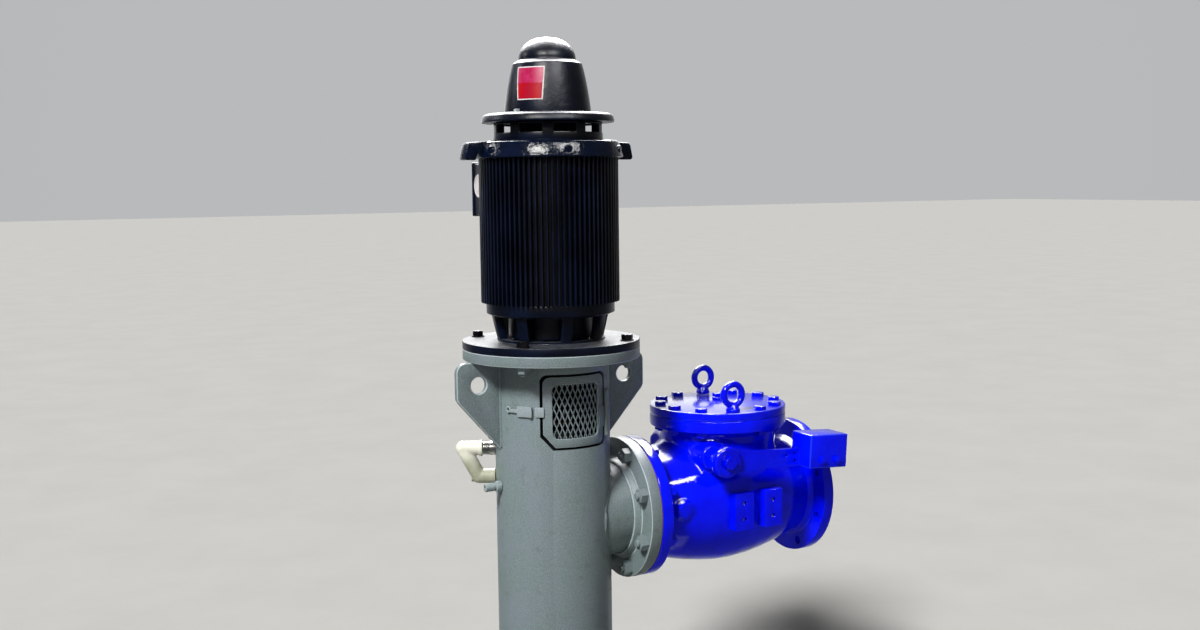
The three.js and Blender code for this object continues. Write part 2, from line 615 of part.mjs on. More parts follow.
function addFinnedFrame() {
  const shape = new THREE.Shape();
  const pitch = 2 * Math.PI / FINS.count;
  const corners = [[FINS.root, -0.26], [FINS.tip, -0.19], [FINS.tip, 0.19], [FINS.root, 0.26]];
  for (let k = 0; k < FINS.count; k += 1) {
    for (const [radius, offset] of corners) {
      const angle = (k + offset) * pitch;
      const at = [radius * Math.cos(angle), radius * Math.sin(angle)];
      if (k === 0 && offset === corners[0][1]) shape.moveTo(...at);
      else shape.lineTo(...at);
    }
  }
  const body = plateXY(shape, MOTOR_FLANGE_TOP + FINS.bottom, MOTOR_FLANGE_TOP + FINS.top);
  addPiece('motor_finned_frame', body, 'motorNavy');
}

function addTopRing() {
  const z = (height) => MOTOR_FLANGE_TOP + height;
  const { radius, shoulder, crown, bottom, top } = TOP_RING;
  const ring = turned([
    [0, z(bottom)], [radius, z(bottom)], [shoulder, z(top - 6)], [crown, z(top)], [0, z(top)],
  ], 40);
  const lug = plateXZ(outline([
    [150, z(424)], [174, z(424)], [184, z(436)], [189, z(419)], [211, z(419)], [215, z(424)],
    [209, z(453)], [204, z(459)], [150, z(462)],
  ]), -19, 19);
  addPiece('motor_top_ring', join(ring, lug, lug.rotate([0, 0, 180])), 'motorNavy');
}

function addNeck() {
  const z = (height) => MOTOR_FLANGE_TOP + height;
  const bottom = z(TOP_RING.top) + GAP;
  const profile = [
    [0, bottom], [NECK.outer, bottom], [NECK.outer, z(NECK.top)], [NECK.inner, z(NECK.top)],
    [NECK.inner, bottom + 6], [NECK.core, bottom + 6], [NECK.core, z(NECK.top)], [0, z(NECK.top)],
  ];
  const windows = [];
  const half = NECK.windowHalfDeg;
  const window = rolledSheet(100, 140, -half, half, z(NECK.windowBottom), z(NECK.top) - 4, 2);
  for (let k = 0; k < NECK.windows; k += 1) {
    windows.push(window.rotate([0, 0, (k + 0.8) * 360 / NECK.windows]));
  }
  addPiece('motor_neck', cut(turned(profile), wasm.Manifold.union(windows)), 'motorNavy');
}

function addCanopy() {
  const z = (height) => MOTOR_FLANGE_TOP + height;
  const bottom = z(NECK.top) + GAP;
  addPiece('motor_canopy_brim', turned([
    [0, bottom], [BRIM.radius - 2, bottom], [BRIM.radius, bottom + 3], [BRIM.radius, z(BRIM.top) - 4],
    [BRIM.radius - 4, z(BRIM.top)], [104, z(528)], [0, z(528)],
  ]), 'motorNavy');
  const dome = [[68.5, 647], [65.5, 662], [58, 676], [45.5, 689], [27, 698], [0, 701]];
  addPiece('motor_canopy_cap', turned([
    [0, z(528) + GAP], [98.5, z(528) + GAP], [96, z(550)], [92.6, z(575)], [87, z(608)], [80, z(640)],
    [73, z(646)], ...dome.map(([r, h]) => [r, z(h)]),
  ]), 'motorNavy');
}

function addTerminalBox() {
  const { half, back, front, bottom, top, lid, lip } = TERMINAL_BOX;
  const neck = block(-55, 55, 140, back + 4, bottom + 20, top - 20);
  const frame = cylinderZ(FINS.tip + 0.7, 1100, 1700, 0, 0, 48);
  const box = block(-half, half, back, front, bottom, top);
  addPiece('terminal_box', cut(join(neck, box), frame), 'motorNavy');
  const cover = block(-half - lip, half + lip, front + GAP, front + GAP + lid, bottom - lip, top + lip);
  addPiece('terminal_box_cover', cover, 'motorNavy');
}

addBase();
addColumn();
addTopFlange();
addEar('lifting_ear_left', -1);
addEar('lifting_ear_right', 1);
addDischarge();
addShaftSeal();
addShaft();
addGuard('front', 0);
addGuard('rear', 180);
addDrain();
addValveBody();
addCover();
addLever();
addDisc();
addMotorBase();
addFinnedFrame();
addTopRing();
addNeck();
addCanopy();
addTerminalBox();

export default pump;
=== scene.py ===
# %% [markdown]
# # A vertical turbine pump set, dressed in Blender
# The set has three parts that you can tell by colour: a grey discharge head on a plinth, a navy motor on
# top of it, and a blue swing check valve on its outlet. The CAD model fixes where everything is. This
# script adds what a camera sees: rounded edges, casting skin, paint, bolts, welds and dust.
# Cells are short. Each one models a piece or mixes a finish, and prints what it made.

import json
import math

import bpy
from mathutils import Matrix, Vector

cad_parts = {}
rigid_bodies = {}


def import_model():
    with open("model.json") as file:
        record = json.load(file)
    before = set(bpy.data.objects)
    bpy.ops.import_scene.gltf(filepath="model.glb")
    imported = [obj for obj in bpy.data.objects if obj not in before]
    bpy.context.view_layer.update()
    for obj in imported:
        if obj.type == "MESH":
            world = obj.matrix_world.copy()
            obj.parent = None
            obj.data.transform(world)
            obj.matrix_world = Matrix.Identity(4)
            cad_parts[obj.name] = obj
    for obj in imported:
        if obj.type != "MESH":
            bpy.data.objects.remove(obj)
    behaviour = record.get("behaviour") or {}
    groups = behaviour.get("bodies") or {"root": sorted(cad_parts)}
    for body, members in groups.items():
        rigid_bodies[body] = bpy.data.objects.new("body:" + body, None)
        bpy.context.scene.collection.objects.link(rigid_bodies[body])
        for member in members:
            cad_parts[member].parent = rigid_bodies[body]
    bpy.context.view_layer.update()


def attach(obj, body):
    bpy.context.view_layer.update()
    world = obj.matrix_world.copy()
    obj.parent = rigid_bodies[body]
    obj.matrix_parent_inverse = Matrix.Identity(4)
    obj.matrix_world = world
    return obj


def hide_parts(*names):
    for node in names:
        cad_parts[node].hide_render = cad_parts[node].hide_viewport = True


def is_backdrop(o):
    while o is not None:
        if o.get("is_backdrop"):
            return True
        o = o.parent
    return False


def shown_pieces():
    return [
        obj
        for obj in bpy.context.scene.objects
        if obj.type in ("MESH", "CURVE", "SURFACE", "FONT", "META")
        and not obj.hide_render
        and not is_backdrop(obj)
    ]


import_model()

# %% [markdown]
# Sizes are written in millimetres, as on a drawing, and turned into metres when a point is made. The
# sizes below are the ones that several pieces share.

# %% Shared sizes
MM = 0.001
GAP = 0.3
PLINTH_TOP = 160
SOLE_TOP = 185
DISCHARGE_Z = 680
HEAD_FLANGE_BOTTOM = 1065
MOTOR_FOOT = 1090
FLANGE_TOP = 1108
COLUMN_R = 136.5
COLUMN_BORE = 127
HEAD_FACE_X = 202.4
VALVE_X0 = 205.0
VALVE_X1 = 700.0
NOZZLE_BORE = 101.5
NOZZLE_R = 109.5
FLANGE_R = 171.5
FLANGE_THICK = 28.6
MOTOR_FLANGE_R = 209.5
COVER_R = 171.4
BONNET_BORE = 128
SHAFT_BORE = 16.5
BONNET_X = 462.5
COVER_TOP = 914.3
PIVOT = (366, 806)
LEVER_DROOP = 3.3


def point(*values):
    """A point given in mm, as a vector in metres."""
    return Vector(values) * MM


# %% [markdown]
# ## Camera
# The camera stands left of the front, a little above the lever, looks slightly down and is turned less
# than a degree. Its place came from fitting round flanges of known size.

# %% Camera
CAMERA_AT = (-1.3354, -2.8432, 1.479)
HEADING, PITCH, ROLL = math.radians(-27.2771), math.radians(5.7695), math.radians(-0.686)
FOCAL_PIXELS, IMAGE_WIDTH, SENSOR_MM = 1335.55, 1200, 36.0

right = Vector((math.cos(HEADING), math.sin(HEADING), 0))
level = Vector((-math.sin(HEADING), math.cos(HEADING), 0))
up = Vector((0, 0, 1))
ahead = level * math.cos(PITCH) - up * math.sin(PITCH)
above = up * math.cos(PITCH) + level * math.sin(PITCH)
side = right * math.cos(ROLL) + above * math.sin(ROLL)
top = above * math.cos(ROLL) - right * math.sin(ROLL)
bpy.ops.object.camera_add()
camera = bpy.context.object
camera.matrix_world = Matrix.Translation(CAMERA_AT) @ Matrix((side, top, -ahead)).transposed().to_4x4()
camera.data.sensor_width = SENSOR_MM
camera.data.lens = SENSOR_MM * FOCAL_PIXELS / IMAGE_WIDTH
bpy.context.scene.camera = camera
print("lens", round(camera.data.lens, 2), "mm")

# %% [markdown]
# ## Light
# The highlights on round parts show where light comes from. A wide strip of it stands 35 degrees up, a
# little left of the camera. A short one is higher up on the right, a small one far round on the left, and
# large soft ones lie above and behind the pump. Lamps that only gloss can see give these highlights. The
# world is dim in front, so fronts stay dark. A sun without a mirror image does the shading.

# %% World and lamps
scene = bpy.context.scene
scene.view_settings.view_transform = "Standard"
scene.view_settings.look = "None"


def lamp(name, at, aim, size, power, colour=(1, 1, 1)):
    """A rectangular soft lamp that faces a point."""
    bpy.ops.object.light_add(type="AREA", location=at)
    light = bpy.context.object
    light.name = name
    light.data.shape = "RECTANGLE"
    light.data.size, light.data.size_y = size
    light.data.energy = power
    light.data.color = colour
    light.rotation_mode = "QUATERNION"
    light.rotation_quaternion = (Vector(aim) - Vector(at)).to_track_quat("-Z", "Y")
    return light


lamp("wide_window", (-5.3, -5.8, 6.7), (0.1, 0, 1.1), (3.8, 1.3), 680, (1, 0.98, 0.95))
lamp("right_window", (0.31, -2.78, 3.63), (0.3, 0, 0.75), (1.8, 0.5), 75)
lamp("left_window", (-3.5, 2.85, 3.5), (0, 0, 1.4), (0.8, 0.8), 20)
lamp("ceiling", (0.92, 2.29, 4.87), (0, 0, 1.6), (4.4, 3.8), 1550)
lamp("back_wall", (1.9, 6.0, 3.3), (1.9, 0, 1.6), (5.8, 4.2), 128, (0.98, 0.99, 1))
for light in scene.objects:
    if light.type == "LIGHT":
        light.visible_camera = light.visible_diffuse = False
bpy.ops.object.light_add(type="SUN")
sun = bpy.context.object
sun.rotation_mode = "QUATERNION"
sun.rotation_quaternion = Vector((-0.87, -0.49, 1.0)).to_track_quat("Z", "Y")
sun.data.energy, sun.data.angle = 5.6, math.radians(12)
sun.visible_glossy = False

world = bpy.data.worlds.new("pale_room")
scene.world = world
world.use_nodes = True
sky = world.node_tree.nodes
direction = sky.new("ShaderNodeTexCoord")
depth = sky.new("ShaderNodeVectorMath")
depth.operation = "DOT_PRODUCT"
depth.inputs[1].default_value = level
glow = sky.new("ShaderNodeMapRange")
glow.interpolation_type = "SMOOTHSTEP"
for socket, value in (("From Min", 0.5), ("From Max", 0.95), ("To Min", 0.1), ("To Max", 0.5)):
    glow.inputs[socket].default_value = value
world.node_tree.links.new(direction.outputs["Generated"], depth.inputs[0])
world.node_tree.links.new(depth.outputs["Value"], glow.inputs["Value"])
world.node_tree.links.new(glow.outputs[0], sky["Background"].inputs["Strength"])
sky["Background"].inputs["Color"].default_value = (0.96, 0.98, 1, 1)

# %% [markdown]
# ## Shader maths
# A material is a small network of nodes. Wiring them by hand is slow to read, so one class wraps an
# output socket and lets Python's own operators add the Math nodes: `1 - dirt * 0.4` becomes two nodes.
# Every other node comes from one method, which sets the node up first and then fills its sockets.

# %% Socket values and finishes


class Value:
    """A node's output. Arithmetic on it adds Math nodes to the same material."""

    def __init__(self, finish, socket):
        self.finish, self.socket = finish, socket

    def maths(self, operation, first, second):
        return self.finish.node("ShaderNodeMath", {0: first, 1: second}, operation=operation)

    def __add__(self, other):
        return self.maths("ADD", self, other)

    def __mul__(self, other):
        return self.maths("MULTIPLY", self, other)

    def __sub__(self, other):
        return self.maths("SUBTRACT", self, other)

    def __rsub__(self, other):
        return self.maths("SUBTRACT", other, self)

    __radd__ = __add__


class Finish:
    """A material in the making, with its Principled shader at hand."""

    def __init__(self, name):
        self.material = bpy.data.materials.new(name)
        self.material.use_nodes = True
        self.tree = self.material.node_tree
        self.shader = self.tree.nodes["Principled BSDF"]

    def put(self, socket, value):
        if isinstance(value, Value):
            self.tree.links.new(value.socket, socket)
        else:
            socket.default_value = value

    def node(self, kind, sockets=None, output=0, stops=None, **settings):
        """Adds a node: its settings and ramp stops first, then the values or links of its sockets."""
        made = self.tree.nodes.new(kind)
        for setting, value in settings.items():
            setattr(made, setting, value)
        if stops:
            ramp = made.color_ramp.elements
            for _ in stops[2:]:
                ramp.new(0.5)
            for element, (place, colour) in zip(ramp, stops):
                element.position, element.color = place, colour
        for key, value in (sockets or {}).items():
            self.put(made.inputs[key], value)
        return Value(self, made.outputs[output])

    def set(self, **sockets):
        """Fills sockets of the Principled shader, named with underscores for spaces."""
        for key, value in sockets.items():
            self.put(self.shader.inputs[key.replace("_", " ")], value)

    def place(self):
        """Where the surface is on the object, in metres, whatever the view."""
        return self.node("ShaderNodeTexCoord", output="Object")

    def noise(self, scale, detail=3.0, rough=0.55):
        sockets = {"Vector": self.place(), "Scale": scale, "Detail": detail, "Roughness": rough}
        return self.node("ShaderNodeTexNoise", sockets)

    def band(self, value, low, high):
        """0 below low, 1 above high and a smooth ramp between."""
        sockets = {"Value": value, "From Min": low, "From Max": high}
        return self.node("ShaderNodeMapRange", sockets, interpolation_type="SMOOTHSTEP")

    def mix(self, factor, first, second):
        """A colour between two colours."""
        return self.node("ShaderNodeMix", {0: factor, 6: first, 7: second}, 2, data_type="RGBA")

    def facing_up(self):
        """1 where the surface faces up. The navy greys it there, as dust and a painted sheen; the blue
        changes its gloss there.
        """
        normal = self.node("ShaderNodeNewGeometry", output="Normal")
        return self.band(self.node("ShaderNodeSeparateXYZ", {0: normal}, output="Z"), 0.55, 0.98)

    def bump(self, height, strength, distance):
        sockets = {"Height": height, "Strength": strength, "Distance": distance}
        return self.node("ShaderNodeBump", sockets)


def colour(red, green, blue):
    """A colour as seen on screen, from 0 to 255, as the linear values that a shader takes."""
    return (*[(c / 255) ** 2.2 for c in (red, green, blue)], 1)


# %% [markdown]
# ## Finishes
# ** Head paint** is a thin machinery grey that shifts between greenish and violet, with fine speckle
# where the spray was dry. A paler copy of it is a painted highlight on rounded edges, where light
# catches. The bevels made later carry a second material slot, so that copy lands only on rounded edges.

# %% Grey head paint


def grey_paint(name, lift):
    """The head's grey. lift makes it paler; on rounded edges the paler copy is a painted highlight."""
    paint = Finish(name)
    drift = paint.band(paint.noise(7, 2), 0.35, 0.65)
    speck = paint.noise(420, 2, 0.7)
    greenish, violet = colour(92 + lift, 106 + lift, 104 + lift), colour(99 + lift, 108 + lift, 116 + lift)
    cool = paint.mix(drift, greenish, violet)
    speckled = paint.mix(paint.band(speck, 0.42, 0.62), cool, colour(112 + lift, 124 + lift, 124 + lift))
    grime = paint.band(paint.noise(24, 5, 0.65), 0.56, 0.72)
    shade = paint.mix(grime * 0.35, speckled, colour(82, 84, 78))
    skin = paint.noise(160, 3) * 0.7 + paint.noise(900, 1) * 0.3
    paint.set(Base_Color=shade, Roughness=0.42 + grime * 0.2 + (speck - 0.5) * 0.12)
    paint.set(Normal=paint.bump(skin, 0.25, 0.0006))
    return paint.material


HEAD_GREY = grey_paint("head_grey_paint", 0)
# A paler copy for rounded edges: a painted highlight.
HEAD_EDGE_HIGHLIGHT = grey_paint("head_grey_painted_edge_highlight", 46)
LATCH_GREY = grey_paint("latch_rubbed_grey", 22)
# The worn edge in this print is a painted highlight on rounded edges.
print("grey paint and its worn edge")

# %% [markdown]
# ** Motor paint** is navy so dark that it reads black, satin on the cast iron. Grey lies on what faces
# up, most of all on the foot flange: dust, and a painted sheen of light glancing off the tops. The same
# recipe with less roughness and a wavier coat gives the glossy ring under the canopy.

# %% Navy motor paint


def navy_paint(name, rough, dust_and_sheen, lift=0, wave=0.0008):
    """The motor's navy, greyed on faces that look up by dust and a painted sheen, as much as the third
    argument asks. wave is how uneven the coat is.
    """
    paint = Finish(name)
    cloud = paint.band(paint.noise(14, 4), 0.3, 0.7)
    base = paint.mix(cloud, colour(7 + lift, 13 + lift, 24 + lift), colour(12 + lift, 20 + lift, 38 + lift))
    # Grey on faces that look up: dust, and a painted sheen of glancing light.
    settled = paint.facing_up() * paint.band(paint.noise(55, 5, 0.7), 0.25, 0.75) * dust_and_sheen
    shade = paint.mix(settled, base, colour(96, 98, 96))
    skin = paint.noise(44, 2) * 0.88 + paint.noise(420, 1) * 0.12
    paint.set(Base_Color=shade, Roughness=rough + cloud * 0.06 + settled * 0.35)
    paint.set(Normal=paint.bump(skin, 0.8, wave), Specular_IOR_Level=0.35)
    return paint.material


MOTOR_NAVY = navy_paint("motor_navy_satin", 0.3, 0.1)
# A paler, glossier copy for rounded edges: a painted highlight.
MOTOR_EDGE_HIGHLIGHT = navy_paint("motor_navy_painted_edge_highlight", 0.22, 0.15, 8)
# Most grey on the foot flange's top: dust and a painted sheen.
MOTOR_DUST_AND_SHEEN = navy_paint("motor_flange_dust_and_sheen", 0.28, 0.5)
MOTOR_GLOSS = navy_paint("motor_ring_gloss", 0.09, 0.05, 2, 0.0026)
CAP_GLOSS = navy_paint("motor_cap_gloss", 0.32, 0.06, 0, 0.0012)
# The dusty navy in this print also carries a painted sheen on faces that look up.
print("navy in satin, dusty and gloss")

# %% [markdown]
# **Valve paint** is a thick, glossy cobalt epoxy. It pools in the casting's hollows, so the gloss is
# wavy at the scale of a coin. The colour is deep, so only the glancing and the mirrored light is pale.

# %% Blue valve enamel


def blue_enamel(name, lift=0):
    """The valve's blue. lift makes it a little paler; the paler copy is a painted highlight on rounded edges.
    """
    paint = Finish(name)
    pool = paint.band(paint.noise(11, 3), 0.3, 0.7)
    base = paint.mix(pool, colour(lift, 12 + lift, 204), colour(lift, 22 + lift, 232))
    dirt = paint.band(paint.noise(38, 6, 0.7), 0.6, 0.78)
    shade = paint.mix(dirt * 0.3, base, colour(8, 14, 120))
    flat = paint.facing_up()
    skin = paint.noise(30, 1) * 0.75 + paint.noise(170, 1) * 0.25
    paint.set(Base_Color=shade, Roughness=0.06 + dirt * 0.2 + flat * 0.12)
    paint.set(Normal=paint.bump(skin * (1 - flat * 0.92), 0.7, 0.0008))
    return paint.material


VALVE_BLUE = blue_enamel("valve_blue_enamel")
# A paler copy for rounded edges: a painted highlight.
VALVE_EDGE_HIGHLIGHT = blue_enamel("valve_blue_painted_edge_highlight", 28)
# The thin edge in this print is a painted highlight on rounded edges.
print("blue enamel and its thin edge")

# %% [markdown]
# ** Metals**: plated steel for bolts and the nipple, steel darkened as painted shade for the shaft, black
# oxide for the motor's foot bolts and bronze darkened as painted shade for the gland. One recipe, with tint,
# roughness and rust as its dials.

# %% Metals


def metal(name, tint, rough, rust=0.0, rust_tint=(96, 58, 34)):
    """A bare metal with fine scratches and a share of rust."""
    bare = Finish(name)
    scratch = bare.noise(700, 2, 0.6)
    tone = bare.mix(bare.noise(60, 3), colour(*[c * 0.86 for c in tint]), colour(*tint))
    spots = bare.band(bare.noise(90, 6, 0.7), 0.66 - 0.3 * rust, 0.74 - 0.2 * rust) * min(1.0, rust * 3)
    bare.set(Base_Color=bare.mix(spots, tone, colour(*rust_tint)), Metallic=1 - spots)
    bare.set(Roughness=rough + (scratch - 0.5) * 0.2 + spots * 0.4)
    bare.set(Normal=bare.bump(scratch, 0.12, 0.0002))
    return bare.material


BRIGHT_STEEL = metal("plated_steel", (205, 205, 203), 0.3)
DULL_STEEL = metal("dull_steel", (150, 150, 148), 0.42, 0.25)
# Near-black steel for the shaft and coupling: painted shade inside the column.
SHAFT_STEEL_SHADED = metal("shaft_steel_painted_shade", (48, 46, 43), 0.55, 0.3, (40, 28, 20))
BLACK_STEEL = metal("black_oxide_steel", (52, 52, 56), 0.45, 0.1)
# Bronze darkened nearly to black: painted shade on the gland, seat and disc.
BRONZE = metal("gland_bronze_painted_shade", (74, 60, 40), 0.5, 0.3, (36, 40, 30))
print("five metals")

# %% [markdown]
# ** The rest**: PVC for the drain, rust-red fibre for the flange gasket, two reds and a pale edge for the
# bare plate on the cap, dull zinc for small screws, near black as painted shade for the inside of the pipe,
# and concrete for the plinth, with darker damp patches, pores and a fine grain.

# %% Plastic, gasket, plates and concrete


def plain(name, tint, other, rough, grain=40, depth=0.0003, gloss=0.5):
    """A coloured surface that drifts between two tints with a fine skin."""
    coat = Finish(name)
    drift = coat.band(coat.noise(grain, 4, 0.65), 0.32, 0.7)
    coat.set(Base_Color=coat.mix(drift, colour(*tint), colour(*other)), Roughness=rough + drift * 0.12)
    coat.set(Normal=coat.bump(coat.noise(grain * 8, 3), 0.3, depth), Specular_IOR_Level=gloss)
    return coat.material


def pvc_darker_below(name, low, high):
    """White pipe plastic, darker towards the bottom: fully darker at height low, not at all at height high.
    """
    coat = Finish(name)
    drift = coat.band(coat.noise(30, 4, 0.65), 0.32, 0.7)
    height = coat.node("ShaderNodeSeparateXYZ", {0: coat.place()}, output="Z")
    darker_below = (1 - coat.band(height, low * MM, high * MM)) * 0.75 + drift * 0.2
    coat.set(Base_Color=coat.mix(darker_below, colour(206, 205, 190), colour(132, 134, 112)))
    coat.set(Roughness=0.3 + darker_below * 0.2, Normal=coat.bump(coat.noise(240, 3), 0.3, 0.0003))
    return coat.material


DRAIN_PVC = pvc_darker_below("drain_white_pvc", 800, 838)
GASKET_RED = plain("gasket_red_fibre", (116, 60, 42), (88, 46, 34), 0.8, 120, 0.0008)
PLATE_RED = plain("cap_plate_red", (158, 4, 18), (142, 10, 40), 0.35, 60, gloss=0.2)
PLATE_PINK = plain("cap_plate_faded", (148, 20, 60), (162, 34, 82), 0.3, 60, gloss=0.4)
# Near black: painted shade inside the column, on the seal plate and on the window stops.
INSIDE_SHADE = plain("pipe_inside_painted_shade", (17, 18, 19), (26, 26, 26), 0.9, 60, 0.001, gloss=0.1)
PLATE_WHITE = plain("plate_edge_white", (196, 192, 192), (180, 174, 174), 0.4, 40, gloss=0.3)
GALVANISED = plain("dull_zinc", (168, 172, 172), (140, 146, 148), 0.45, 90)


def concrete(name):
    cast = Finish(name)
    damp = cast.band(cast.noise(3.5, 5, 0.6), 0.45, 0.62)
    grain = cast.noise(180, 6, 0.75)
    pores = cast.band(cast.noise(75, 2, 0.4), 0.68, 0.74)
    tone = cast.mix(damp, colour(176, 172, 160), colour(148, 144, 130))
    tone = cast.mix(cast.band(grain, 0.35, 0.7) * 0.5, tone, colour(196, 193, 184))
    cast.set(Base_Color=cast.mix(pores * 0.7, tone, colour(92, 88, 80)), Roughness=0.82 + grain * 0.12)
    cast.set(Normal=cast.bump(grain * 0.6 + (1 - pores), 0.5, 0.0015))
    return cast.material


PLINTH_CONCRETE = concrete("plinth_concrete")
FLOOR_PALE = plain("studio_floor", (178, 177, 173), (174, 173, 170), 0.9, 2, gloss=0)
print("plastic, gasket, plates and concrete")

# %% [markdown]
# ## Tools for modelling
# These few helpers do by operator what a modeller does by hand. A drawn line is one point, extruded from
# place to place. Spinning the line makes anything turned on a lathe. Filling it and extruding the face
# makes anything cut from plate. The Bevel, Boolean and Displace modifiers finish the shape.

# %% Drawing, turning and plate work


def start_clean():
    """Object mode with nothing selected, so that an operator acts only on what is picked next."""
    if bpy.context.mode != "OBJECT":
        bpy.ops.object.mode_set(mode="OBJECT")
    bpy.ops.object.select_all(action="DESELECT")


def pick(*pieces):
    start_clean()
    for piece in pieces:
        piece.select_set(True)
    bpy.context.view_layer.objects.active = pieces[-1]
    return pieces[-1]


def edit(piece):
    pick(piece)
    bpy.ops.object.mode_set(mode="EDIT")
    bpy.ops.mesh.select_all(action="SELECT")


def choose(piece, kind, wanted):
    """Enters edit mode with only those "edges" or "polygons" of piece selected that are wanted."""
    edit(piece)
    bpy.ops.mesh.select_all(action="DESELECT")
    bpy.ops.object.mode_set(mode="OBJECT")
    for part in getattr(piece.data, kind):
        part.select = wanted(part)
    bpy.ops.object.mode_set(mode="EDIT")


def close_mesh():
    """Turns every face outward and leaves edit mode."""
    bpy.ops.mesh.select_all(action="SELECT")
    bpy.ops.mesh.normals_make_consistent(inside=False)
    bpy.ops.object.mode_set(mode="OBJECT")


def settled(name=None):
    """The active object, with its place, turn and size fixed in its mesh."""
    bpy.ops.object.transform_apply(location=True, rotation=True, scale=True)
    if name:
        bpy.context.object.name = name
    return bpy.context.object


def draw(name, points):
    """A line through points in mm, left selected in edit mode."""
    start_clean()
    bpy.ops.mesh.primitive_plane_add(size=MM)
    line = bpy.context.object
    line.name = name
    edit(line)
    bpy.ops.mesh.merge(type="CENTER")
    here = Vector()
    for index, there in enumerate(points):
        step = (Vector(there) - here) * MM
        if index:
            bpy.ops.mesh.extrude_region_move(TRANSFORM_OT_translate={"value": step})
        else:
            bpy.ops.transform.translate(value=step)
        here = Vector(there)
    bpy.ops.mesh.select_all(action="SELECT")
    bpy.ops.mesh.remove_doubles(threshold=1e-6)
    return line


AXES = {"X": ((0, 0, 1), (1, 0, 0)), "Y": ((1, 0, 0), (0, 1, 0)), "Z": ((1, 0, 0), (0, 0, 1))}


def turned(name, profile, steps=96, axis="Z", centre=(0, 0, 0), turn=360, start=0):
    """A profile of (radius, distance along the axis) in mm, spun round the axis through centre."""
    out, along = map(Vector, AXES[axis])
    if start:
        out = Matrix.Rotation(math.radians(start), 3, along) @ out
    points = [Vector(centre) + out * r + along * h for r, h in profile]
    if profile[0][0] > 0 or profile[-1][0] > 0:
        points.append(points[0])
    piece = draw(name, points)
    bpy.ops.mesh.spin(steps=steps, angle=-math.radians(turn), center=point(*centre), axis=along)
    bpy.ops.mesh.select_all(action="SELECT")
    bpy.ops.mesh.remove_doubles(threshold=2e-6)
    if turn < 360:
        bpy.ops.mesh.select_all(action="DESELECT")
        bpy.ops.mesh.select_non_manifold()
        bpy.ops.mesh.edge_face_add()
    close_mesh()
    return piece


def tube(inner, outer, low, high):
    """Four corners: the profile of a plain ring, of a disc when inner is 0, or a flat rectangle."""
    return [(inner, low), (outer, low), (outer, high), (inner, high)]


def on_outlet(name, profile, steps=96):
    """A profile spun round the axis of the outlet, which runs along X."""
    return turned(name, profile, steps, "X", (0, 0, DISCHARGE_Z))


PLANES = {
    "XZ": lambda u, v, w: (u, w, v),
    "XY": lambda u, v, w: (u, v, w),
    "YZ": lambda u, v, w: (w, u, v),
}


def plate(name, outline, low, high, plane="XZ"):
    """A flat outline in mm, cut from plate that reaches from low to high across its plane."""
    lay = PLANES[plane]
    points = [lay(u, v, low) for u, v in outline]
    piece = draw(name, points + points[:1])
    bpy.ops.mesh.edge_face_add()
    depth = point(*lay(0, 0, high - low))
    bpy.ops.mesh.extrude_region_move(TRANSFORM_OT_translate={"value": depth})
    close_mesh()
    return piece


def block(name, low, high):
    """A box between two corners in mm. It is only a start, for bevels and cuts."""
    low, high = point(*low), point(*high)
    start_clean()
    bpy.ops.mesh.primitive_cube_add(size=1, location=(low + high) / 2, scale=high - low)
    return settled(name)


def rod(name, radius, start, end, sides=32):
    """A round bar between two points in mm."""
    start, end = point(*start), point(*end)
    start_clean()
    bpy.ops.mesh.primitive_cylinder_add(
        vertices=sides, radius=radius * MM, depth=(end - start).length, location=(start + end) / 2)
    bar = bpy.context.object
    bar.rotation_mode = "QUATERNION"
    bar.rotation_quaternion = (end - start).to_track_quat("Z", "Y")
    return settled(name)


def torus(name, major, minor, sides, at, turn=0):
    """A round ring in mm that faces -Y, or is turned from there. sides counts round it and round its bar."""
    start_clean()
    bpy.ops.mesh.primitive_torus_add(
        major_radius=major * MM, minor_radius=minor * MM, major_segments=sides[0], minor_segments=sides[1],
        rotation=(math.pi / 2, 0, turn), location=point(*at))
    return settled(name)


def arc(centre, radius, start, end, steps=6):
    """Points of an arc in mm, for an outline."""
    angles = [math.radians(start + (end - start) * k / steps) for k in range(steps + 1)]
    return [(centre[0] + radius * math.cos(a), centre[1] + radius * math.sin(a)) for a in angles]


print("drawing tools ready")

# %% [markdown]
# A bevel is the most useful modifier in the file: no real edge is perfectly sharp, and it is the thin
# rounded strip that catches the light. Here it also puts the strip in the second material slot.

# %% Finishing tools


def apply(piece, kind, **settings):
    """Adds a modifier, sets it up and applies it."""
    pick(piece)
    change = piece.modifiers.new(kind.lower(), kind)
    for setting, value in settings.items():
        setattr(change, setting, value)
    bpy.ops.object.modifier_apply(modifier=change.name)
    return piece


def soften(piece, width, segments=2, angle=32):
    """Rounds every edge sharper than angle. Its strip goes to the second slot, for a paler copy of the finish
    that paints a highlight on edges.
    """
    while len(piece.data.materials) < 2:
        piece.data.materials.append(None)
    return apply(piece, "BEVEL", width=width * MM, segments=segments, limit_method="ANGLE",
                 angle_limit=math.radians(angle), material=1, miter_outer="MITER_ARC")


def carve(piece, *cutters, operation="DIFFERENCE"):
    """Cuts each cutter out of piece, or joins it or keeps what they share, and removes the cutters."""
    for cutter in cutters:
        apply(piece, "BOOLEAN", object=cutter, operation=operation, solver="EXACT")
        bpy.data.objects.remove(cutter)
    return piece


def roughen(piece, strength, size):
    """Moves the surface in and out by up to half strength, in lumps of size, both in mm."""
    lumps = bpy.data.textures.new("lumps", "CLOUDS")
    lumps.noise_scale = size * MM
    lumps.noise_depth = 1
    return apply(piece, "DISPLACE", texture=lumps, strength=strength * MM, mid_level=0.5,
                 texture_coords="LOCAL")


def joined(name, *pieces):
    """One object from several."""
    piece = pick(*pieces)
    if len(pieces) > 1:
        bpy.ops.object.join()
    piece.name = name
    return piece


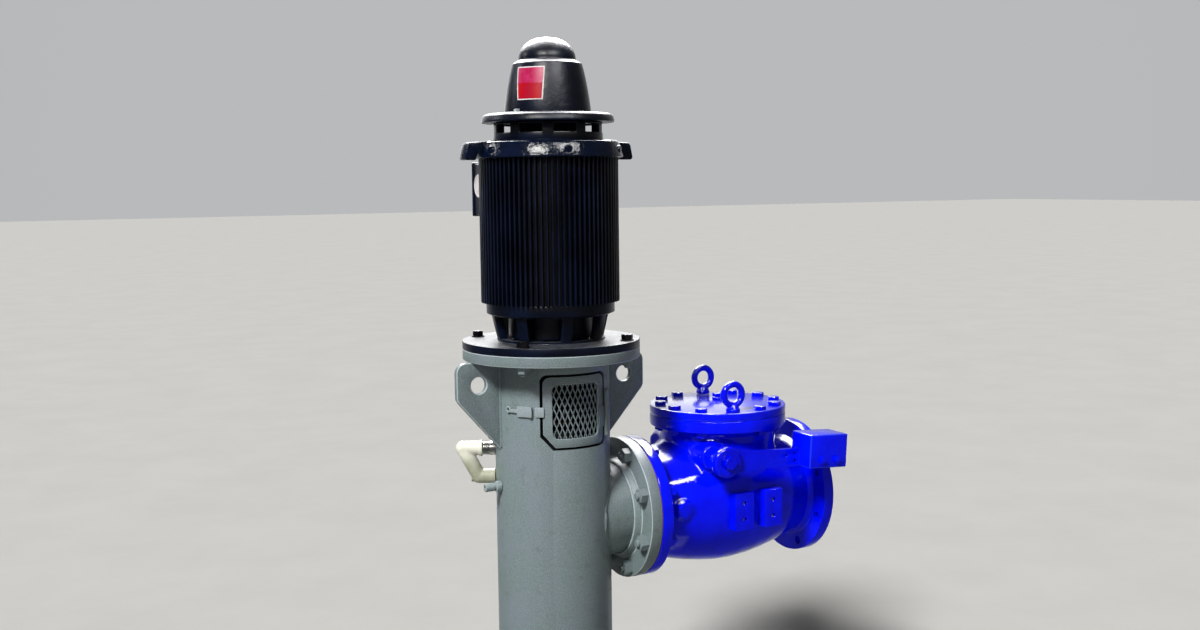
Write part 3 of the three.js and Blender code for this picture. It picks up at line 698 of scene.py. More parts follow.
def moved(piece, by=(0, 0, 0), turn=0, axis="Z"):
    """Turns piece about an axis through the origin, then shifts it in mm, and fixes that in its mesh."""
    pick(piece)
    piece.matrix_world = Matrix.Translation(point(*by)) @ Matrix.Rotation(math.radians(turn), 4, axis)
    return settled()


def copy_of(piece, name):
    pick(piece)
    bpy.ops.object.duplicate()
    bpy.context.object.name = name
    return bpy.context.object


made_pieces = []


def dress(piece, body, slot, finish, edge=None, nodes=(), smooth=32):
    """Paints piece, smooths it, attaches it to its CAD body and hides the CAD nodes that it stands for."""
    slots = piece.data.materials
    while len(slots) < 2:
        slots.append(None)
    slots[0], slots[1] = finish, edge or finish
    pick(piece)
    bpy.ops.object.shade_smooth_by_angle(angle=math.radians(smooth))
    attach(piece, body)
    if nodes:
        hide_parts(*nodes)
    made_pieces.append(piece.name)
    return piece


GREY = dict(slot="grey_paint", finish=HEAD_GREY, edge=HEAD_EDGE_HIGHLIGHT)
NAVY = dict(slot="navy_paint", finish=MOTOR_NAVY, edge=MOTOR_EDGE_HIGHLIGHT)
BLUE = dict(slot="blue_paint", finish=VALVE_BLUE, edge=VALVE_EDGE_HIGHLIGHT)
STEEL = dict(slot="bare_steel", finish=BRIGHT_STEEL)
DULL = dict(slot="bare_steel", finish=DULL_STEEL)
SHADED_STEEL = dict(slot="bare_steel", finish=SHAFT_STEEL_SHADED)
BLACK = dict(slot="bare_steel", finish=BLACK_STEEL)
ZINC = dict(slot="bare_steel", finish=GALVANISED)
RUBBED = dict(slot="bare_steel", finish=LATCH_GREY, edge=HEAD_EDGE_HIGHLIGHT)
print("finishing tools ready")

# %% [markdown]
# ## Fasteners
# A hexagon head is a six-sided bar with its corners turned off. Crossing the bar with a lathe-turned
# cone gives exactly that. One head is modelled, then copied to each place and turned a little, because
# no fitter lines up the flats.

# %% Bolt heads and nuts


def hexagon(name, across, height, washer=0.0, stud=0.0, thread=0.0):
    """A chamfered hexagon on +Z from the origin, on a washer if asked, with a threaded end above it."""
    corner = across / math.sqrt(3)
    start_clean()
    bpy.ops.mesh.primitive_cylinder_add(
        vertices=6, radius=corner * MM, depth=height * MM, location=point(0, 0, washer + height / 2))
    head = settled("head")
    rise, flat = washer + height, across * 0.47
    cone = turned("cone", [(0, washer - 1), (corner + 1, washer - 1), (corner + 1, rise - 0.12 * height),
                           (flat, rise), (0, rise)], 36)
    parts = [carve(head, cone, operation="INTERSECT")]
    if washer:
        parts.append(turned("washer", tube(0, corner * 1.12, 0, washer), 28))
    if stud:
        threads = [(0, rise - 1)]
        pitch = 1.6
        for k in range(int(stud / pitch)):
            threads += [(thread, rise + k * pitch), (thread * 0.9, rise + (k + 0.5) * pitch)]
        threads += [(thread * 0.8, rise + stud), (0, rise + stud)]
        parts.append(turned("thread", threads, 20))
    return joined(name, *parts)


def spread(name, model, places):
    """Copies of model, each at a point in mm, facing a direction and turned about it in degrees."""
    copies = []
    for at, facing, spin in places:
        one = copy_of(model, name)
        face = Vector(facing).to_track_quat("Z", "Y").to_matrix().to_4x4()
        one.matrix_world = Matrix.Translation(point(*at)) @ face @ Matrix.Rotation(math.radians(spin), 4, "Z")
        copies.append(settled())
    bpy.data.objects.remove(model)
    return joined(name, *copies)


def ring_of(count, radius, first, height, facing=1, centre=(0, 0)):
    """Places round a vertical axis: each a point, a direction and a turn of its own."""
    places = []
    for k in range(count):
        angle = math.radians(first + 360 * k / count)
        at = (centre[0] + radius * math.cos(angle), centre[1] + radius * math.sin(angle), height)
        places.append((at, (0, 0, facing), first + 41 * k))
    return places


def weld(name, start, end, radius=4.5):
    """A straight bead with the ripples of a stick weld."""
    bead = rod(name, radius, start, end, 10)
    along = (point(*end) - point(*start)).normalized()

    def lengthwise(ridge):
        first, last = (bead.data.vertices[v].co for v in ridge.vertices)
        return abs((last - first).normalized().dot(along)) > 0.99

    choose(bead, "edges", lengthwise)
    bpy.ops.mesh.subdivide(number_cuts=36)
    bpy.ops.object.mode_set(mode="OBJECT")
    return roughen(bead, 2.4, 6)


def bead_profile(radius, along, size):
    """A ten-sided round bar's section, for a bead that runs round an axis."""
    return [(radius + size * x, along + size * y) for x, y in arc((0, 0), 1, 0, 324, 9)]


def weld_ring(name, radius, height, size=5):
    """A bead round the pump's axis."""
    return roughen(turned(name, bead_profile(radius, height, size), 180), 2.2, 6)


print("fastener tools ready")

# %% [markdown]
# ## Plinth and sole plate
# The pump stands on a cast concrete block with trowelled top edges. A steel sole plate lies in a bed of
# grout on it, held by four anchor bolts. The block is subdivided so that its edges can crumble a little.

# %% Plinth
PLINTH_HALF, PLINTH_CHAMFER = 380, 20
GROUT_HALF, SOLE_HALF = 318, 300
plinth = block("plinth_block", (-PLINTH_HALF, -PLINTH_HALF, 0), (PLINTH_HALF, PLINTH_HALF, PLINTH_TOP))


def at_top(ridge):
    return all(plinth.data.vertices[v].co.z > (PLINTH_TOP - 1) * MM for v in ridge.vertices)


choose(plinth, "edges", at_top)
bpy.ops.mesh.bevel(offset=PLINTH_CHAMFER * MM, segments=1)
bpy.ops.mesh.select_all(action="SELECT")
bpy.ops.mesh.subdivide(number_cuts=40)
bpy.ops.object.mode_set(mode="OBJECT")
roughen(plinth, 2.5, 30)
dress(plinth, "stand", "concrete", PLINTH_CONCRETE, nodes=["concrete_plinth"], smooth=24)

grout = plate("grout_bed", tube(-GROUT_HALF, GROUT_HALF, -GROUT_HALF, GROUT_HALF),
              PLINTH_TOP - 2, PLINTH_TOP + 3, "XY")
choose(grout, "polygons", lambda face: face.normal.z > 0.9)
bpy.ops.mesh.extrude_region_move(TRANSFORM_OT_translate={"value": point(0, 0, 8)})
bpy.ops.transform.resize(value=(0.955, 0.955, 1))
bpy.ops.mesh.select_all(action="SELECT")
bpy.ops.mesh.subdivide(number_cuts=24)
bpy.ops.object.mode_set(mode="OBJECT")
roughen(grout, 2, 14)
dress(grout, "stand", "concrete", PLINTH_CONCRETE)
print("plinth", len(plinth.data.polygons), "faces")

# %% Sole plate and anchors
sole = block("sole_plate_steel", (-SOLE_HALF, -SOLE_HALF, PLINTH_TOP + GAP), (SOLE_HALF, SOLE_HALF, SOLE_TOP))
dress(soften(sole, 2.5), "stand", nodes=["sole_plate"], **GREY)
anchor = hexagon("anchor", 36, 19, washer=5, stud=22, thread=12)
places = [((x, y, SOLE_TOP), (0, 0, 1), 13 * x + 7 * y) for x in (-262, 262) for y in (-262, 262)]
dress(spread("anchor_nuts", anchor, places), "stand", **DULL)

base_low = SOLE_TOP + GAP
base_top = base_low + 28
base = turned("base_flange_ring", tube(COLUMN_R + GAP, 254, base_low, base_top), 128)
dress(soften(base, 2), "stand", nodes=["head_base_flange"], **GREY)
base_bolts = spread("base_flange_bolts", hexagon("bolt", 30, 13, washer=3), ring_of(12, 222, 15, base_top))
dress(base_bolts, "stand", **DULL)
dress(weld_ring("base_weld", COLUMN_R + 1, base_top + 1, 7), "stand", **GREY)
print("base", len(made_pieces), "pieces so far")

# %% [markdown]
# ## Discharge head
# The head is fabricated: a length of 10 inch pipe, flanges welded on, two hand windows cut in its sides
# and a short 8 inch nozzle. The windows are cut with one outline, the door's outline grown by the gap
# that shows as a dark line round the door.

# %% Column pipe
DOOR_HALF, DOOR_LOW, DOOR_HIGH = 77, 871, 1034
DOOR_MARGIN = 5.5


def door_outline(half, low, high, corner=16, cut_x=25, cut_z=31):
    """Three round corners and one large cut corner at lower left, as the doors are."""
    right_low = arc((half - corner, low + corner), corner, -90, 0)
    right_top = arc((half - corner, high - corner), corner, 0, 90)
    left_top = arc((corner - half, high - corner), corner, 90, 180)
    return [(cut_x - half, low), *right_low, *right_top, *left_top, (-half, low + cut_z)]


column = turned("column_pipe", tube(COLUMN_BORE, COLUMN_R, base_low, HEAD_FLANGE_BOTTOM - GAP), 160)
window = door_outline(DOOR_HALF + DOOR_MARGIN, DOOR_LOW - DOOR_MARGIN, DOOR_HIGH + DOOR_MARGIN)
front_cut = plate("front_cut", window, -150, -60)
rear_cut = moved(copy_of(front_cut, "rear_cut"), turn=180)
outlet_cut = rod("outlet_cut", NOZZLE_BORE, (0, 0, DISCHARGE_Z), (150, 0, DISCHARGE_Z), 64)
carve(column, front_cut, rear_cut, outlet_cut)
soften(column, 1.2)
# The pipe's inside faces get the near-black finish: painted shade.
column.data.materials.append(INSIDE_SHADE)
INSIDE_SLOT = 2
for face in column.data.polygons:
    if face.center.xy.length < (COLUMN_BORE + 0.5) * MM:
        face.material_index = INSIDE_SLOT
dress(column, "stand", nodes=["head_column_lower", "head_column_upper"], **GREY)
print("column", len(column.data.polygons), "faces")

# %% Top flange and ears
flange = turned("top_flange_ring", tube(95, MOTOR_FLANGE_R, HEAD_FLANGE_BOTTOM, MOTOR_FOOT - GAP), 144)
dress(soften(flange, 1.8, 3), "stand", nodes=["head_top_flange"], **GREY)

EAR_TOP = HEAD_FLANGE_BOTTOM - GAP
for name, turn in (("right", 0), ("left", 180)):
    outline = [(COLUMN_R + GAP, 855), (236, 969), (240, 974), (242.6, 979), (243.5, 985),
               *arc((219.5, EAR_TOP - 24), 24, 0, 90, 10), (COLUMN_R + GAP, EAR_TOP)]
    ear = plate(f"lifting_ear_{name}_plate", outline, -8, 8)
    carve(ear, rod("hole", 19.5, (189.5, -20, 1011), (189.5, 20, 1011), 48))
    soften(ear, 2.2, 3)
    moved(ear, turn=turn)
    dress(ear, "stand", nodes=[f"lifting_ear_{name}"], **GREY)
    beads = [weld("bead", (COLUMN_R, y, 862), (COLUMN_R, y, EAR_TOP - 4), 3.6) for y in (-9, 9)]
    beads += [weld("bead", (COLUMN_R + 4, y, EAR_TOP), (202, y, EAR_TOP), 3.2) for y in (-9, 9)]
    dress(moved(joined(f"ear_welds_{name}", *beads), turn=turn), "stand", **GREY)
dress(weld_ring("flange_weld", COLUMN_R + 1, EAR_TOP - 1, 5), "stand", **GREY)
print("ears and top flange")

# %% [markdown]
# ## Nozzle and flanged joint
# Where a round nozzle meets a round pipe the joint is a saddle curve. The nozzle is cut with the pipe's
# own radius. The bead starts as a ring round the nozzle, and each of its points then slides along X until
# it meets the pipe.

# %% Nozzle, flange, gasket and studs
nozzle = on_outlet("nozzle_pipe", tube(NOZZLE_BORE, NOZZLE_R, 70, HEAD_FACE_X))
carve(nozzle, turned("pipe_space", tube(0, COLUMN_R + GAP, 500, 900), 160))
dress(nozzle, "stand", nodes=["discharge_nozzle"], **GREY)

saddle = on_outlet("nozzle_weld", bead_profile(NOZZLE_R, 0, 5), 200)
for corner in saddle.data.vertices:
    across = min(abs(corner.co.y), 109 * MM)
    corner.co.x += math.sqrt((COLUMN_R * MM) ** 2 - across**2)
dress(roughen(saddle, 2.4, 6), "stand", **GREY)

flange_back = HEAD_FACE_X - FLANGE_THICK
seat_r = NOZZLE_R + GAP
hub = [(seat_r, flange_back - 16), (114, flange_back - 16), (118, flange_back - 12), (121, flange_back - 3),
       (124, flange_back), (FLANGE_R, flange_back), (FLANGE_R, HEAD_FACE_X), (seat_r, HEAD_FACE_X)]
discharge = on_outlet("discharge_flange_ring", hub, 128)
dress(soften(discharge, 1.6, 3), "stand", nodes=["discharge_flange"], **GREY)

gasket_x = HEAD_FACE_X + GAP
gasket = on_outlet("flange_gasket_ring", tube(NOZZLE_BORE, FLANGE_R - 2, gasket_x, gasket_x + 2), 128)
dress(gasket, "stand", "red_gasket", GASKET_RED, nodes=["flange_gasket"])
FLANGE_BOLTS = 8


def flange_circle(x, facing, radius=149.25):
    """The bolt places of an 8 inch flange, with the holes off the centre lines."""
    places = []
    for k in range(FLANGE_BOLTS):
        angle = math.radians((k + 0.5) * 360 / FLANGE_BOLTS)
        at = (x, radius * math.sin(angle), DISCHARGE_Z + radius * math.cos(angle))
        places.append((at, (facing, 0, 0), 17 * k))
    return places


nut = hexagon("nut", 32, 19, stud=7, thread=9.5)
dress(spread("head_side_nuts", nut, flange_circle(flange_back, -1)), "stand", **GREY)
nut = hexagon("nut", 32, 16, stud=5, thread=9.5)
dress(spread("valve_side_nuts", nut, flange_circle(VALVE_X0 + FLANGE_THICK, 1)), "stand", **BLUE)
print("flanged joint with", 2 * FLANGE_BOLTS, "nuts")

# %% [markdown]
# ## Shaft seal
# Behind the guard mesh the shaft passes a packed stuffing box. It shows dark through the mesh and
# clearly when a door is open, so it is turned from the same sections as the CAD, with rounded edges.

# %% Stuffing box, gland, shaft and coupling
# The seal plate is near black: painted shade.
seal = turned("seal_plate_ring", tube(56.3, 126.7, 815, 830), 96)
dress(soften(seal, 1), "stand", "grey_paint", INSIDE_SHADE, nodes=["seal_plate"])
BOX_FLANGE_TOP, GLAND_TOP, STUD_X = 846.3, 916, 43
COUPLING_LOW, COUPLING_HIGH = 988, 1022
BOX = [(21.5, 790), (56, 790), (56, 830.3), (84, 830.3), (84, BOX_FLANGE_TOP), (60, BOX_FLANGE_TOP),
       (56, 850), (56, 890), (30, 890), (30, 820), (21.5, 820)]
dress(soften(turned("stuffing_box_casting", BOX, 72), 1.5), "stand", nodes=["stuffing_box"], **GREY)
bolt = hexagon("bolt", 19, 8, washer=2)
dress(spread("seal_box_bolts", bolt, ring_of(8, 71, 0, BOX_FLANGE_TOP)), "stand", **DULL)
GLAND = [(21.5, 850), (29.7, 850), (29.7, 902), (54, 902), (54, GLAND_TOP), (36, GLAND_TOP), (32, 922),
         (21.5, 922)]
gland = turned("packing_gland_bronze", GLAND, 72)
studs = [rod("stud", 6, (x, 0, 890.3), (x, 0, 936), 20) for x in (-STUD_X, STUD_X)]
gland = joined("packing_gland_bronze", *studs, soften(gland, 1))
dress(gland, "stand", "bronze", BRONZE, nodes=["packing_gland"])
places = [((x, 0, GLAND_TOP), (0, 0, 1), x) for x in (-STUD_X, STUD_X)]
dress(spread("gland_nuts", hexagon("nut", 19, 10, washer=2), places), "stand", **DULL)

shaft = turned("pump_shaft_steel", [(0, 760), (18, 760), (19, 761), (19, 1139), (18, 1140), (0, 1140)], 48)
dress(shaft, "rotor", nodes=["pump_shaft"], **SHADED_STEEL)
COUPLING = [(19.3, 958), (34, 958), (34, 984), (38, COUPLING_LOW), (62, COUPLING_LOW), (62, 1004), (60, 1004),
            (60, 1006), (62, 1006), (62, COUPLING_HIGH), (38, COUPLING_HIGH), (34, 1026), (34, 1052),
            (19.3, 1052)]
coupling = turned("shaft_coupling_steel", COUPLING, 72)
dress(soften(coupling, 1.2), "rotor", nodes=["shaft_coupling"], **SHADED_STEEL)
places = ring_of(6, 49, 0, COUPLING_HIGH) + ring_of(6, 49, 0, COUPLING_LOW, -1)
dress(spread("coupling_bolts", hexagon("bolt", 13, 7), places), "rotor", **BLACK)
print("shaft seal and coupling")

# %% [markdown]
# ## Guard doors
# A door is flat sheet, cut out and then rolled to the pipe's curve, and it is modelled in that order: the
# flat blank is sliced into narrow strips and the Simple Deform modifier bends it. The expanded mesh
# starts as one diamond-shaped ring, repeated with two Array modifiers and rolled the same way. A rolled
# flat bar inside the pipe is the stop that the door closes on. It is near black, a dark sheet of painted
# shade behind the door's gap, so no daylight shows round the door.

# %% Rolling tools


def arc_length(x):
    """How far round the pipe a point lies whose distance from the centre plane is x."""
    return COLUMN_R * math.asin(x / COLUMN_R)


def slice_up(piece, spacing):
    """Cuts piece into upright strips, so that it can bend."""
    edit(piece)
    reach = piece.dimensions.x / 2 / MM
    centre = sum(corner[0] for corner in piece.bound_box) / 8 / MM
    count = int(2 * reach / spacing)
    for k in range(1, count + 1):
        x = centre - reach + 2 * reach * k / (count + 1)
        bpy.ops.mesh.select_all(action="SELECT")
        bpy.ops.mesh.bisect(plane_co=point(x, 0, 0), plane_no=(1, 0, 0))
    bpy.ops.object.mode_set(mode="OBJECT")
    return piece


def rolled(piece, radius):
    """Bends flat work, whose outer face is at y = 0, to a pipe of that radius in mm, facing -Y."""
    angle = piece.dimensions.x / (radius * MM)
    apply(piece, "SIMPLE_DEFORM", deform_method="BEND", deform_axis="Z", angle=angle)
    return moved(piece, by=(0, -radius, 0))


def rounded(half, low, high, corner, steps=6):
    """A rectangle with four round corners, half to each side of the middle."""
    middles = [(half - corner, low + corner), (half - corner, high - corner),
               (corner - half, high - corner), (corner - half, low + corner)]
    return [spot for k, middle in enumerate(middles)
            for spot in arc(middle, corner, 90 * k - 90, 90 * k, steps)]


print("rolling tools ready")

# %% Guard doors, front and rear


def mesh_sheet(name, low, high, reach):
    """Expanded mesh as a flat sheet: a staggered field of diamond rings, trimmed to a rectangle."""
    pitch_x, pitch_z, strand = 13.0, 30.7, 2.6
    centre = (low + high) / 2
    columns, rows = int(2 * reach / pitch_x) + 2, int((high - low) / pitch_z) + 2
    edge = [(0, -pitch_z / 2), (pitch_x / 2, 0), (0, pitch_z / 2), (-pitch_x / 2, 0)]
    cell = draw(name, [(u, 0, v) for u, v in edge + edge[:1]])
    bpy.ops.mesh.edge_face_add()
    bpy.ops.mesh.inset(thickness=strand / 2 * MM)
    bpy.ops.mesh.delete(type="FACE")
    bpy.ops.object.mode_set(mode="OBJECT")
    lean = 0.9 * MM
    for corner in cell.data.vertices:
        if abs(corner.co.z) < 0.49 * pitch_z * MM and abs(corner.co.x) < 0.2 * MM:
            corner.co.y = lean if corner.co.z > 0 else -lean
    fields = [cell, copy_of(cell, "offset_field")]
    moved(fields[1], by=(pitch_x / 2, 0, pitch_z / 2))
    field = joined(name, *fields)
    for count, step in ((columns, (pitch_x, 0, 0)), (rows, (0, 0, pitch_z))):
        apply(field, "ARRAY", count=count, use_relative_offset=False, use_constant_offset=True,
              constant_offset_displace=point(*step))
    moved(field, by=(-(columns - 1.5) * pitch_x / 2, 1.2, centre - (rows - 1.5) * pitch_z / 2))
    edit(field)
    bpy.ops.mesh.remove_doubles(threshold=1e-5)
    for at, normal in (((reach, 0, 0), (1, 0, 0)), ((-reach, 0, 0), (-1, 0, 0)),
                       ((0, 0, high), (0, 0, 1)), ((0, 0, low), (0, 0, -1))):
        bpy.ops.mesh.select_all(action="SELECT")
        bpy.ops.mesh.bisect(plane_co=point(*at), plane_no=normal, clear_outer=True)
    close_mesh()
    return apply(field, "SOLIDIFY", thickness=1.5 * MM, offset=0)


def guard(side, turn):
    """One hinged guard: door sheet, mesh, hinge, and the latch on the other edge."""
    body = f"{side}_guard"

    def finished(piece, its_body, part="", **look):
        """Turns a piece made for the front to its side of the pipe and dresses it."""
        nodes = [f"{side}_guard_{part}"] if part else ()
        return dress(moved(piece, turn=turn), its_body, nodes=nodes, **look)

    cut_x = arc_length(DOOR_HALF) - arc_length(DOOR_HALF - 25)
    outline = door_outline(arc_length(DOOR_HALF), DOOR_LOW, DOOR_HIGH, 18, cut_x)
    blank = plate(f"{side}_door_sheet", outline, 0, 3.2)
    half = arc_length(58.5)
    carve(blank, plate("opening", rounded(half, 891, 1016, 14), -5, 8))
    soften(slice_up(blank, 4), 1.1, 2)
    finished(rolled(blank, COLUMN_R), body, "door", **GREY)
    mesh_low, mesh_high = 884, 1023
    sheet = rolled(mesh_sheet(f"{side}_door_mesh", mesh_low, mesh_high, half + 6), COLUMN_R - 3.5)
    finished(sheet, body, "mesh", **GREY)

    inner = COLUMN_BORE - GAP
    stop_half, stop_open = (inner * math.asin(reach / COLUMN_R) for reach in (86, 65))
    # A near-black stop behind the door's gap: painted shade, so no daylight shows through.
    stop = plate(f"{side}_window_stop_shade", door_outline(stop_half, 862, 1043, 18), 0, 4)
    carve(stop, plate("opening", rounded(stop_open, mesh_low, mesh_high, 14), -5, 9))
    finished(rolled(slice_up(stop, 4), inner), "stand", slot="grey_paint", finish=INSIDE_SHADE)

    surface = COLUMN_R + GAP
    degree = math.radians(1) * surface

    def strip(name, start, end, low, high, thickness):
        """A small plate on the pipe's surface, its ends given as angles from the front."""
        width = (end - start) * degree
        corners = rounded(width / 2, low, high, min(2.5, width / 4), 3)
        blank = slice_up(soften(plate(name, corners, -thickness, 0), 0.6), 3)
        return moved(rolled(blank, surface), turn=(start + end) / 2)

    def around(radius, degrees):
        """A place in plan, given as an angle from the front."""
        return radius * math.sin(math.radians(degrees)), -radius * math.cos(math.radians(degrees))

    hinge, knuckle, leaf = 36.8, 4.8, 1.8
    bottom, low, high, top = 886, 905.5, 958.5, 994
    x, y = around(142, hinge)

    def barrel(start, end):
        """A knuckle of the hinge."""
        profile = [(0, start), (knuckle - 0.6, start), (knuckle, start + 0.8), (knuckle, end - 0.8),
                   (knuckle - 0.6, end), (0, end)]
        return turned("barrel", profile, 24, centre=(x, y, 0))

    fixed = [strip("leaf", hinge + 3, hinge + 9, bottom, top, leaf), barrel(bottom, low), barrel(high, top)]
    fixed += [strip("lug", hinge + 1, hinge + 5, *ends, leaf) for ends in ((bottom, low), (high, top))]
    fixed.append(rod("pin", 2.5, (x, y, bottom - 1.5), (x, y, top + 1.5), 16))
    finished(joined(f"{side}_hinge_fixed", *fixed), "stand", "hinge_base", **GREY)
    moving = [strip("leaf", hinge - 10, hinge - 1, low + 1, high - 1, leaf), barrel(low + 0.8, high - 0.8)]
    finished(joined(f"{side}_hinge_moving", *moving), body, "hinge_leaf", **GREY)

    finished(strip(f"{side}_latch_catch", -41.6, -33, 943, 965, 4), body, "latch_hook", **RUBBED)
    toggle = [strip("latch_plate", -60.5, -44.5, 942, 966, 5), strip("latch_lip", -48, -44.3, 942, 966, 8),
              strip("latch_link", -69, -59.5, 950, 958, 5)]
    loop = -71.3
    toggle.append(torus("latch_loop", 5.8, 2.6, (28, 12), (*around(140, loop), 956), math.radians(loop)))
    finished(joined(f"{side}_latch_toggle", *toggle), "stand", "latch", **RUBBED)
    return len(sheet.data.polygons)


print("mesh faces", guard("front", 0), guard("rear", 180))

# %% [markdown]
# ## Seal drain
# Water that drips from the packing leaves through a threaded steel nipple and a white plastic bend that
# returns to the column, with a side branch. Plain rods and balls stand where its pipes run. The Remesh
# modifier lays one skin over them and Smooth rounds the creases, as in moulded fittings. A small plug
# closes a test hole below.

# %% Drain line and test plug
DRAIN_TURN = 180 - 27
DRAIN_Z, RUN_Z = 847, 779
ELBOW, FOOT = (214.3, 0, DRAIN_Z), (177, 0, RUN_Z)


def melted(name, voxel, rounds, *pieces):
    """One skin over several overlapping pieces, with its inside corners smoothed into fillets."""
    piece = joined(name, *pieces)
    apply(piece, "REMESH", mode="VOXEL", voxel_size=voxel * MM)
    return apply(piece, "SMOOTH", factor=0.5, iterations=rounds)


def ball(radius, at):
    start_clean()
    bpy.ops.mesh.primitive_uv_sphere_add(segments=32, ring_count=20, radius=radius * MM, location=point(*at))
    return settled()


THREAD_R, THREAD_START, PITCH, LEG_R = 16.8, 150, 2.8, 17.6
threads = [(0, COLUMN_R + GAP), (THREAD_R, COLUMN_R + GAP), (THREAD_R, THREAD_START)]
for k in range(6):
    threads += [(THREAD_R, THREAD_START + PITCH * k), (15.2, THREAD_START + PITCH * (k + 0.5))]
nipple = turned("drain_nipple_steel", threads + [(16.4, 167.5), (0, 167.5)], 48, "X", (0, 0, DRAIN_Z))
dress(moved(nipple, turn=DRAIN_TURN), "stand", nodes=["drain_nipple"], **STEEL)

COLLAR = [(0, 167.8), (18.6, 167.8), (19.2, 168.5), (19.2, 174), (17.6, 176), (0, 176)]
collar = turned("collar", COLLAR, 40, "X", (0, 0, DRAIN_Z))
trap = melted("trap", 1.6, 8, ball(17.9, ELBOW), ball(LEG_R, FOOT),
              rod("run", 17.3, (172, 0, DRAIN_Z), ELBOW),
              rod("leg", LEG_R, ELBOW, FOOT), rod("foot", LEG_R, (141, 0, RUN_Z), FOOT))
branch = soften(rod("branch", 9.4, (180, 0, 775), (195.4, 0, 775)), 1.2)
socket = soften(rod("socket", 18.2, (137.6, 0, RUN_Z), (150, 0, RUN_Z), 40), 1)
drain = joined("drain_trap_pvc", collar, branch, socket, trap)
dress(moved(drain, turn=DRAIN_TURN), "stand", "white_pvc", DRAIN_PVC, nodes=["drain_trap"])

PLUG = [(0, 0), (12, 0), (13, 1), (13, 11.5), (11.5, 13.2), (8.5, 14), (8.5, 17), (10, 18.2), (10, 38.5),
        (8.8, 40), (5, 40), (4.4, 36), (0, 36)]
plug = moved(turned("test_plug_steel", PLUG, 32, "X"), by=(-(COLUMN_R + GAP), 0, 768), turn=180)
dress(plug, "stand", nodes=["test_plug"], **RUBBED)
print("drain and plug")

# %% [markdown]
# ## Check valve body
# A casting has no sharp inside corners. The bulb, neck and bosses are joined with Booleans, remeshed into
# even small faces and smoothed, which melts every inside corner into a fillet. Flanges are machined, so
# they are turned separately and stay crisp.

# %% Valve casting


def at_pivot(y):
    """A point on the axis that the lever turns about."""
    return PIVOT[0], y, PIVOT[1]


BULB = [(0, VALVE_X0 + 6), (121, VALVE_X0 + 6), (122, 236), (132, 262), (143, 300), (152, 340), (158, 380),
        (162.5, 420), (162.5, 460), (158, 505), (151, 545), (142, 582), (132, 620), (122, 655),
        (121, VALVE_X1 - 6), (0, VALVE_X1 - 6)]
body = on_outlet("valve_casting", BULB)
bumps = [
    rod("neck", 145, (BONNET_X, 0, DISCHARGE_Z), (BONNET_X, 0, 872), 96),
    rod("shaft_boss", 33, at_pivot(-138), at_pivot(126), 40),
    rod("plug_boss", 22, (280, -148, 688), (280, -80, 688), 32),
]
carve(body, *bumps, operation="UNION")
apply(body, "REMESH", mode="VOXEL", voxel_size=4.2 * MM)
apply(body, "SMOOTH", factor=0.6, iterations=10)
WATERWAY = [(0, 190), (NOZZLE_BORE, 190), (NOZZLE_BORE, 290), (113, 290), (113, 306), (128, 306), (138, 340),
            (149, 420), (149, 460), (143, 510), (128, 582), (104, 645), (NOZZLE_BORE, 655),
            (NOZZLE_BORE, 720), (0, 720)]


def waterway(extra=0):
    """The space that the water fills, as a cutter, extra mm wider all round."""
    return on_outlet("waterway", [(r + extra if r else 0, x) for r, x in WATERWAY])


carve(body, waterway(), rod("access", BONNET_BORE, (BONNET_X, 0, DISCHARGE_Z), (BONNET_X, 0, 900), 96),
      rod("shaft_bore", SHAFT_BORE, at_pivot(-145), at_pivot(112), 32))


def end_flange(name, face, back):
    """A raised machined flange with a cast fillet behind it. back is +1 or -1 along X."""
    rows = [(NOZZLE_BORE, 0), (FLANGE_R, 0), (FLANGE_R, FLANGE_THICK), (138, 29.4), (130, 32), (125, 38),
            (121, 48), (NOZZLE_BORE + 3, 50)]
    return soften(on_outlet(name, [(r, face + back * h) for r, h in rows], 128), 2.2, 3, 40)


inlet = end_flange("inlet", VALVE_X0, 1)
outlet = end_flange("outlet", VALVE_X1, -1)
carve(outlet, *[rod("hole", 11, (VALVE_X1 - 60, y, z), (VALVE_X1 + 10, y, z), 24)
                for (_, y, z), _, _ in flange_circle(VALVE_X1, 1)])
BONNET_LOW, BONNET_TOP = 864, 894
BONNET = [(BONNET_BORE, 850), (146, 850), (148, 858), (154, 863), (COVER_R, BONNET_LOW),
          (COVER_R, BONNET_TOP), (BONNET_BORE, BONNET_TOP)]
bonnet = soften(turned("bonnet", BONNET, 128, centre=(BONNET_X, 0, 0)), 2.2, 3, 40)
PAD_X, PAD_HOLE_Z = (427, 511), (654, 694)
pads = []
for x in PAD_X:
    pad = block("pad", (x - 26.5, -180, 628), (x + 26.5, -90, 720))
    carve(pad, waterway(5), *[rod("hole", 5.5, (x, -186, z), (x, -160, z), 24) for z in PAD_HOLE_Z])
    pads.append(soften(pad, 3, 3))
valve = joined("valve_body_casting", *pads, bonnet, inlet, outlet, body)
dress(valve, "stand", nodes=["valve_body"], **BLUE)
screws = [soften(rod("screw", 4, (x + 1.2, -174, z - 0.9), (x + 1.2, -166, z - 0.9), 16), 1.6, 3)
          for x in PAD_X for z in PAD_HOLE_Z]
dress(joined("pad_set_screws", *screws), "stand", **STEEL)
seat = on_outlet("valve_seat_bronze", tube(98, 112.7, 290.3, 304))
dress(soften(seat, 1), "stand", "bronze", BRONZE, nodes=["valve_seat_ring"])
print("valve casting", len(valve.data.polygons), "faces")

# %% Cover, bolts, eyebolts and plug
cover = turned("valve_cover_disc", tube(0, COVER_R, COVER_TOP - 20, COVER_TOP), 128, centre=(BONNET_X, 0, 0))
dress(soften(cover, 2.6, 3), "stand", nodes=["valve_cover"], **BLUE)
BOLT_CIRCLE = 148
FRONT_EYE, REAR_EYE = 252.5, 72.5


